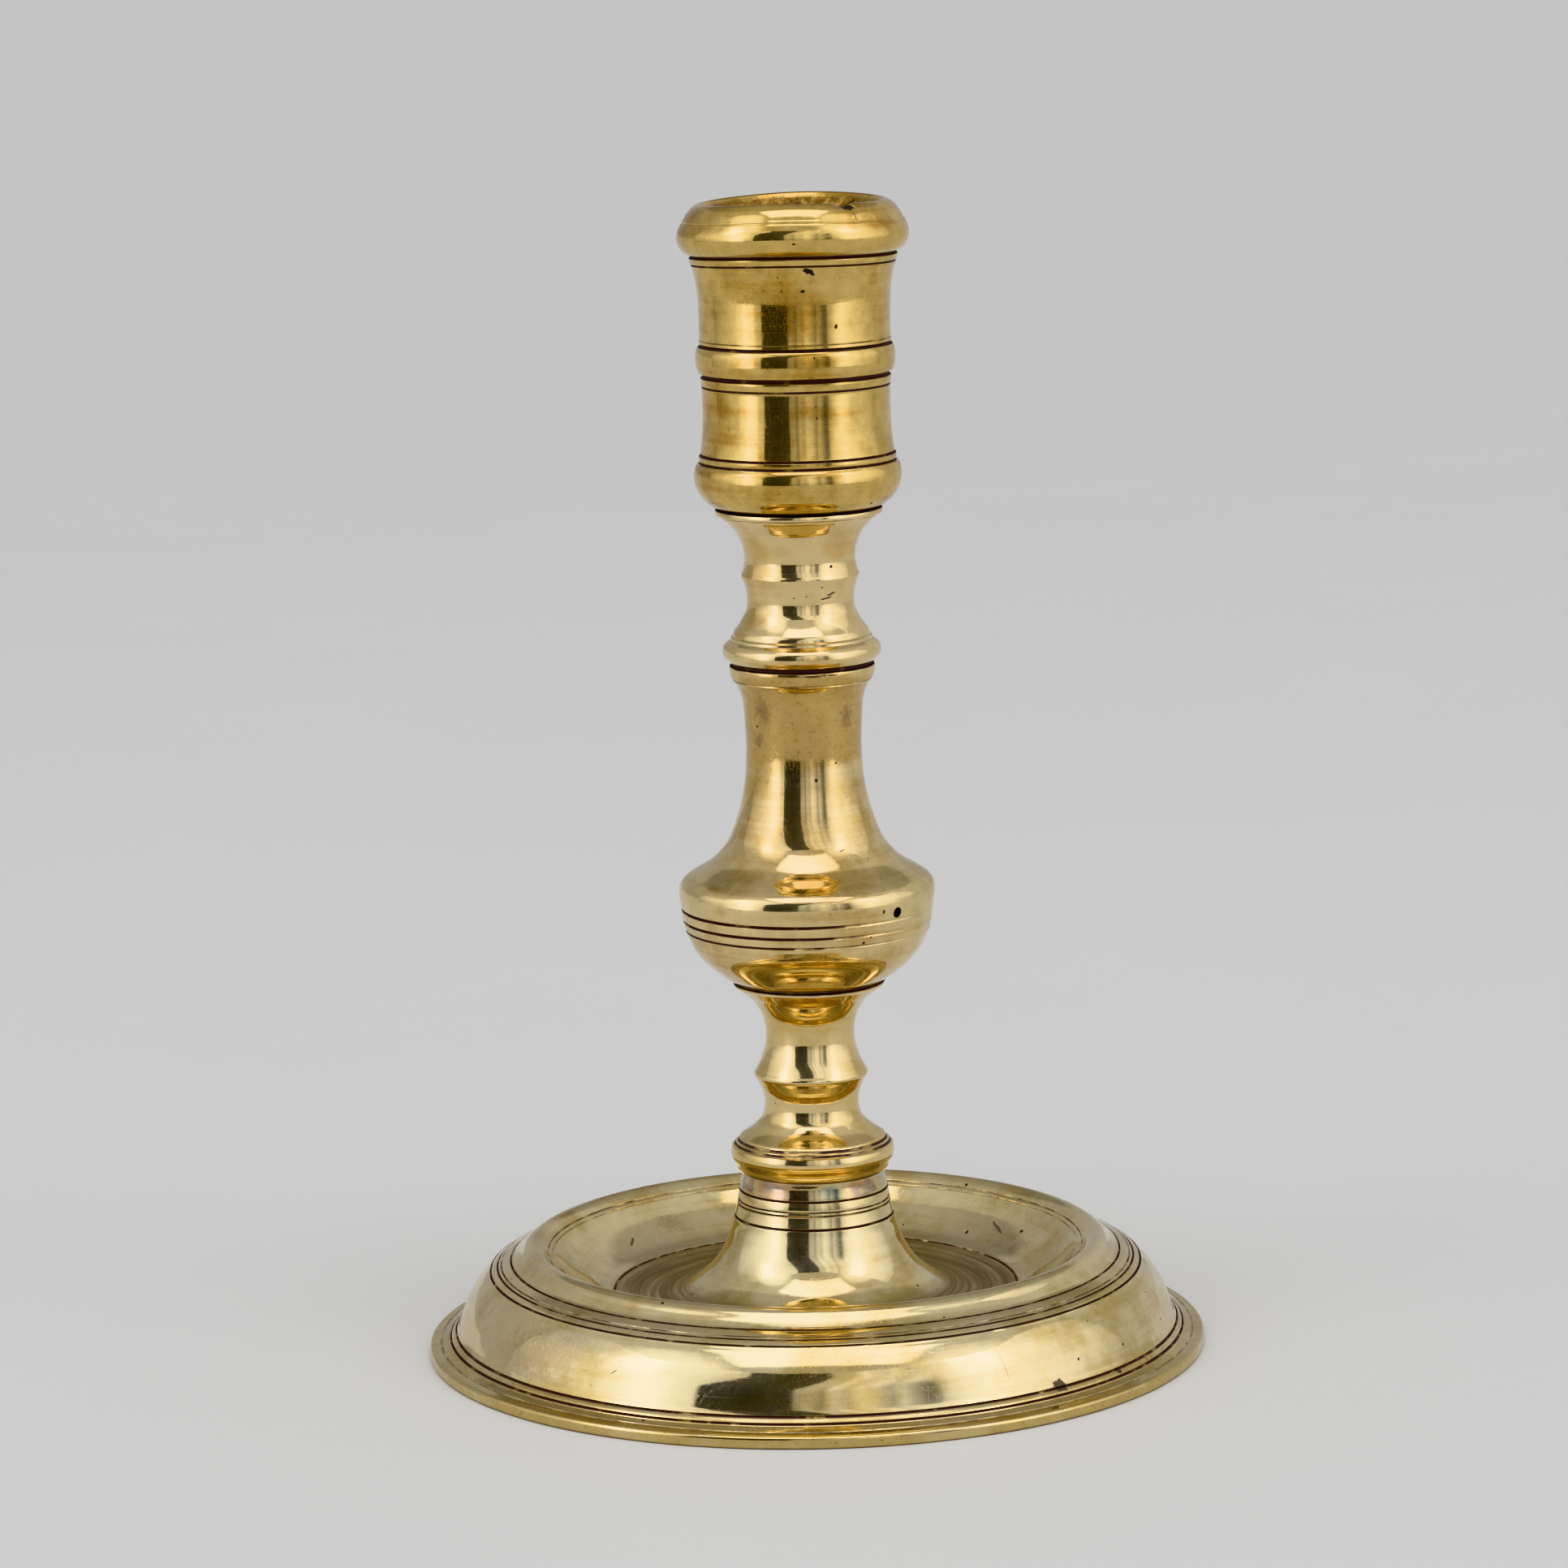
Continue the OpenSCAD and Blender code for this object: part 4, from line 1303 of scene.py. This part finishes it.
@dataclass
class Studio:
    """A pale floor under a soft sky, and the room in front that the polished brass mirrors."""

    floor_tone: str = "#CBCBCB"
    ambient: float = 0.46   # brightness of the sky away from its lights
    backdrop: float = 0.59  # brightness seen past the floor
    lobes: tuple[Lobe, ...] = (
        Lobe(0, 88, 20, 70, 0.1), Lobe(0, 35, 60, 115, 0.15), Lobe(180, 60, 33, 37, -0.18),
        Lobe(-62, 40, 6, 24, 1.6), Lobe(60, 38, 6, 26, 1.3), Lobe(128, 14, 15, 50, 0.15))
    soft_box: Panel = Panel((0.03, -0.34), (0.42, 0.26), 0.1, 3.0)
    # Brightness of the room in front, by bearing in degrees: at the table's height, then above.
    room: tuple[Point, ...] = (
        (-112, 0.7), (-100, 0.9), (-88, 1.1), (-75, 1.4), (-66, 2.3), (-61, 4.6), (-54, 4.0),
        (-47, 1.5), (-40, 1.1), (-38.5, 0.11), (-24, 0.08), (-9, 0.11), (-7.5, 0.6), (-3, 0.75),
        (1, 0.5), (4, 0.95), (9, 0.8), (13, 1.3), (18, 1.1), (24, 0.55), (27, 0.95), (31, 0.6),
        (35, 0.28), (38, 0.4), (40, 0.9), (47, 1.5), (57, 2.9), (68, 1.8), (80, 1.45),
        (92, 1.15), (104, 1.0), (112, 0.8))
    room_above: tuple[Point, ...] = (
        (-112, 0.6), (-100, 0.7), (-88, 0.95), (-80, 1.5), (-72, 6.5), (-64, 7.0), (-56, 2.4),
        (-47, 1.2), (-40, 0.9), (-38.5, 0.16), (-24, 0.11), (-9, 0.17), (-7.5, 0.8), (0, 0.9),
        (4, 1.4), (10, 1.1), (18, 1.3), (24, 0.9), (30, 1.2), (40, 1.3), (48, 1.8), (54, 5.5),
        (64, 6.0), (74, 2.0), (90, 1.3), (104, 1.0), (112, 0.9))
    lean: float = 14.0      # of the middle of the room to the right at its top, in degrees
    brightest: float = 7.0  # in the room
    room_distance: float = 930  # to the screen, in millimetres
    room_height: float = 1000
    eye: Point3 = (0.0, -850.0, 231.65)     # the camera, in millimetres
    yaw: float = -0.212     # degrees, as the next two
    pitch: float = -9.643
    roll: float = -1.30
    lens: float = 130.44    # on a 36 mm sensor, in millimetres

    def make(self) -> None:
        """Builds the floor, the sky, the mirrored room and the camera."""
        self._floor()
        self._sky()
        self._room()
        self._camera()

    def _floor(self) -> None:
        """A smooth painted board, matt and pale grey, whose colour also carries painted light: it
        is made lighter towards the camera.
        """
        floor = primitive("plane", "studio_floor", size=60)
        material, g = new_material("painted_board")
        place = g.place()
        noise = g.noise(place, 90, 4.0)
        tone = linear(self.floor_tone)
        smudged = tuple(c * 0.97 for c in tone[:3]) + (1.0,)
        colour = g.mix(noise, tone, smudged)
        # Painted light: the board's colour is made up to 11% lighter towards the camera, standing
        # in for the floor being lit more brightly there.
        depth = g.parts(place)[1]
        near = g.ease(depth, -0.3, 1.3, 1.11, 1.0)
        colour = g.scaled(colour, near)
        g.shade("BsdfPrincipled", {
            "Base Color": colour, "Roughness": 0.7, "Specular IOR Level": 0.2})
        floor.data.materials.append(material)

    def _sky(self) -> None:
        """A dim tent with soft lights behind its cloth."""
        world = bpy.data.worlds.new("studio_light")
        bpy.context.scene.world = world
        world.use_nodes = True
        g = Graph(world.node_tree)
        g.tree.nodes.clear()
        way = g.add("TexCoord").outputs["Generated"]
        light: Value = self.ambient
        for lobe in self.lobes:
            a, e = math.radians(lobe.bearing), math.radians(lobe.elevation)
            middle = (math.sin(a) * math.cos(e), -math.cos(a) * math.cos(e), math.sin(e))
            near = g.measure("DOT_PRODUCT", way, middle)
            off = g.math("ARCCOSINE", near)
            glow = g.ease(off, math.radians(lobe.core), math.radians(lobe.reach), lobe.glow, 0.0)
            light = g.math("ADD", light, glow)
        parts = g.parts(way)
        up = g.math("MAXIMUM", parts[2], 0.01)
        glow: Value = self.soft_box.glow
        edge = self.soft_box.edge / 2
        for axis, (middle, half) in enumerate(zip(self.soft_box.middle, self.soft_box.half)):
            spot = g.math("DIVIDE", parts[axis], up)
            off = g.math("ABSOLUTE", g.math("SUBTRACT", spot, middle))
            inside = g.ease(off, half - edge, half + edge, 1.0, 0.0)
            glow = g.math("MULTIPLY", glow, inside)
        light = g.math("ADD", light, glow)
        seen = g.add("LightPath").outputs["Is Camera Ray"]
        strength = g.between(seen, light, self.backdrop)
        g.shade("Background", {0: (1, 1, 1, 1), 1: strength}, "OutputWorld")

    def _room(self) -> None:
        """A curved screen at the table's end that shows only in the polished metal."""
        first, last = self.room[0][0], self.room[-1][0]
        a = math.radians(first)
        start = Vector((math.sin(a), -math.cos(a), 0)) * self.room_distance * MM
        screen = start_line("mirrored_room", start)
        bpy.ops.mesh.extrude_region_move(
            TRANSFORM_OT_translate={"value": (0, 0, self.room_height * MM)})
        spin_line(96, -math.radians(last - first))
        bpy.ops.object.mode_set(mode="OBJECT")
        material, g = new_material("mirrored_room")
        parts = g.parts(g.place())
        ahead = g.math("MULTIPLY", parts[1], -1.0)
        bearing = g.math("ARCTAN2", parts[0], ahead)
        rise = g.remap(parts[2], 0.5, 0.88, 0.0, math.radians(self.lean))
        aside = g.math("ABSOLUTE", bearing)
        middle = g.ease(aside, math.radians(26), math.radians(56), 1.0, 0.0)
        shift = g.math("MULTIPLY", rise, middle)
        leant = g.math("SUBTRACT", bearing, shift)
        along = g.remap(leant, math.radians(first), math.radians(last))
        low, above = (self._levels(g, along, table) for table in (self.room, self.room_above))
        lift = g.ease(parts[2], 0.42, 0.72)
        colour = g.mix(lift, low, above)
        level = g.ease(parts[2], 0.0, 0.3, 0.68 * self.brightest, self.brightest)
        g.shade("Emission", {0: colour, 1: level})
        screen.data.materials.append(material)
        for ray in ("camera", "diffuse", "shadow", "transmission", "volume_scatter"):
            setattr(screen, f"visible_{ray}", False)

    def _levels(self, g: Graph, along: Value, table: tuple[Point, ...]) -> Value:
        """The brightness of the room round its curve; what is dim is a little bluer."""
        ramp = g.add("ValToRGB", inputs={0: along})
        elements = ramp.color_ramp.elements
        first, last = table[0][0], table[-1][0]
        while len(elements) < len(table):
            elements.new(0.5)
        for element, (side, level) in zip(elements, table):
            cool = max(0.0, 1 - level / 0.9)
            share = level / self.brightest
            element.position = (side - first) / (last - first)
            element.color = (share * (1 - 0.1 * cool), share, share * (1 + 0.22 * cool), 1.0)
        return ramp.outputs[0]

    def _camera(self) -> None:
        """A long lens, a little above the candlestick."""
        data = bpy.data.cameras.new("camera")
        data.lens, data.sensor_width = self.lens, 36
        data.clip_start, data.clip_end = 0.05, 80
        camera = bpy.data.objects.new("camera", data)
        bpy.context.scene.collection.objects.link(camera)
        yaw, pitch, roll = (math.radians(v) for v in (self.yaw, self.pitch, self.roll))
        ahead = Vector((math.sin(yaw) * math.cos(pitch), math.cos(yaw) * math.cos(pitch),
                        math.sin(pitch)))
        right = Vector((math.cos(yaw), -math.sin(yaw), 0))
        up = right.cross(ahead)
        right, up = (right * math.cos(roll) + up * math.sin(roll),
                     up * math.cos(roll) - right * math.sin(roll))
        camera.matrix_world = Matrix.Translation(Vector(self.eye) * MM) @ Matrix(
            (right, up, -ahead)).transposed().to_4x4()
        bpy.context.scene.camera = camera


def main() -> None:
    """Builds the studio and every section of the candlestick."""
    logging.basicConfig(level=logging.INFO, format="%(name)s: %(message)s")
    bpy.context.scene.view_settings.view_transform = "Khronos PBR Neutral"
    Studio().make()
    for section in (Foot(), LowerStem(), Baluster(), UpperStem(), Socket(), TieRod()):
        section.make()
        log.info("%s made", type(section).__name__)


if __name__ == "__main__":
    main()
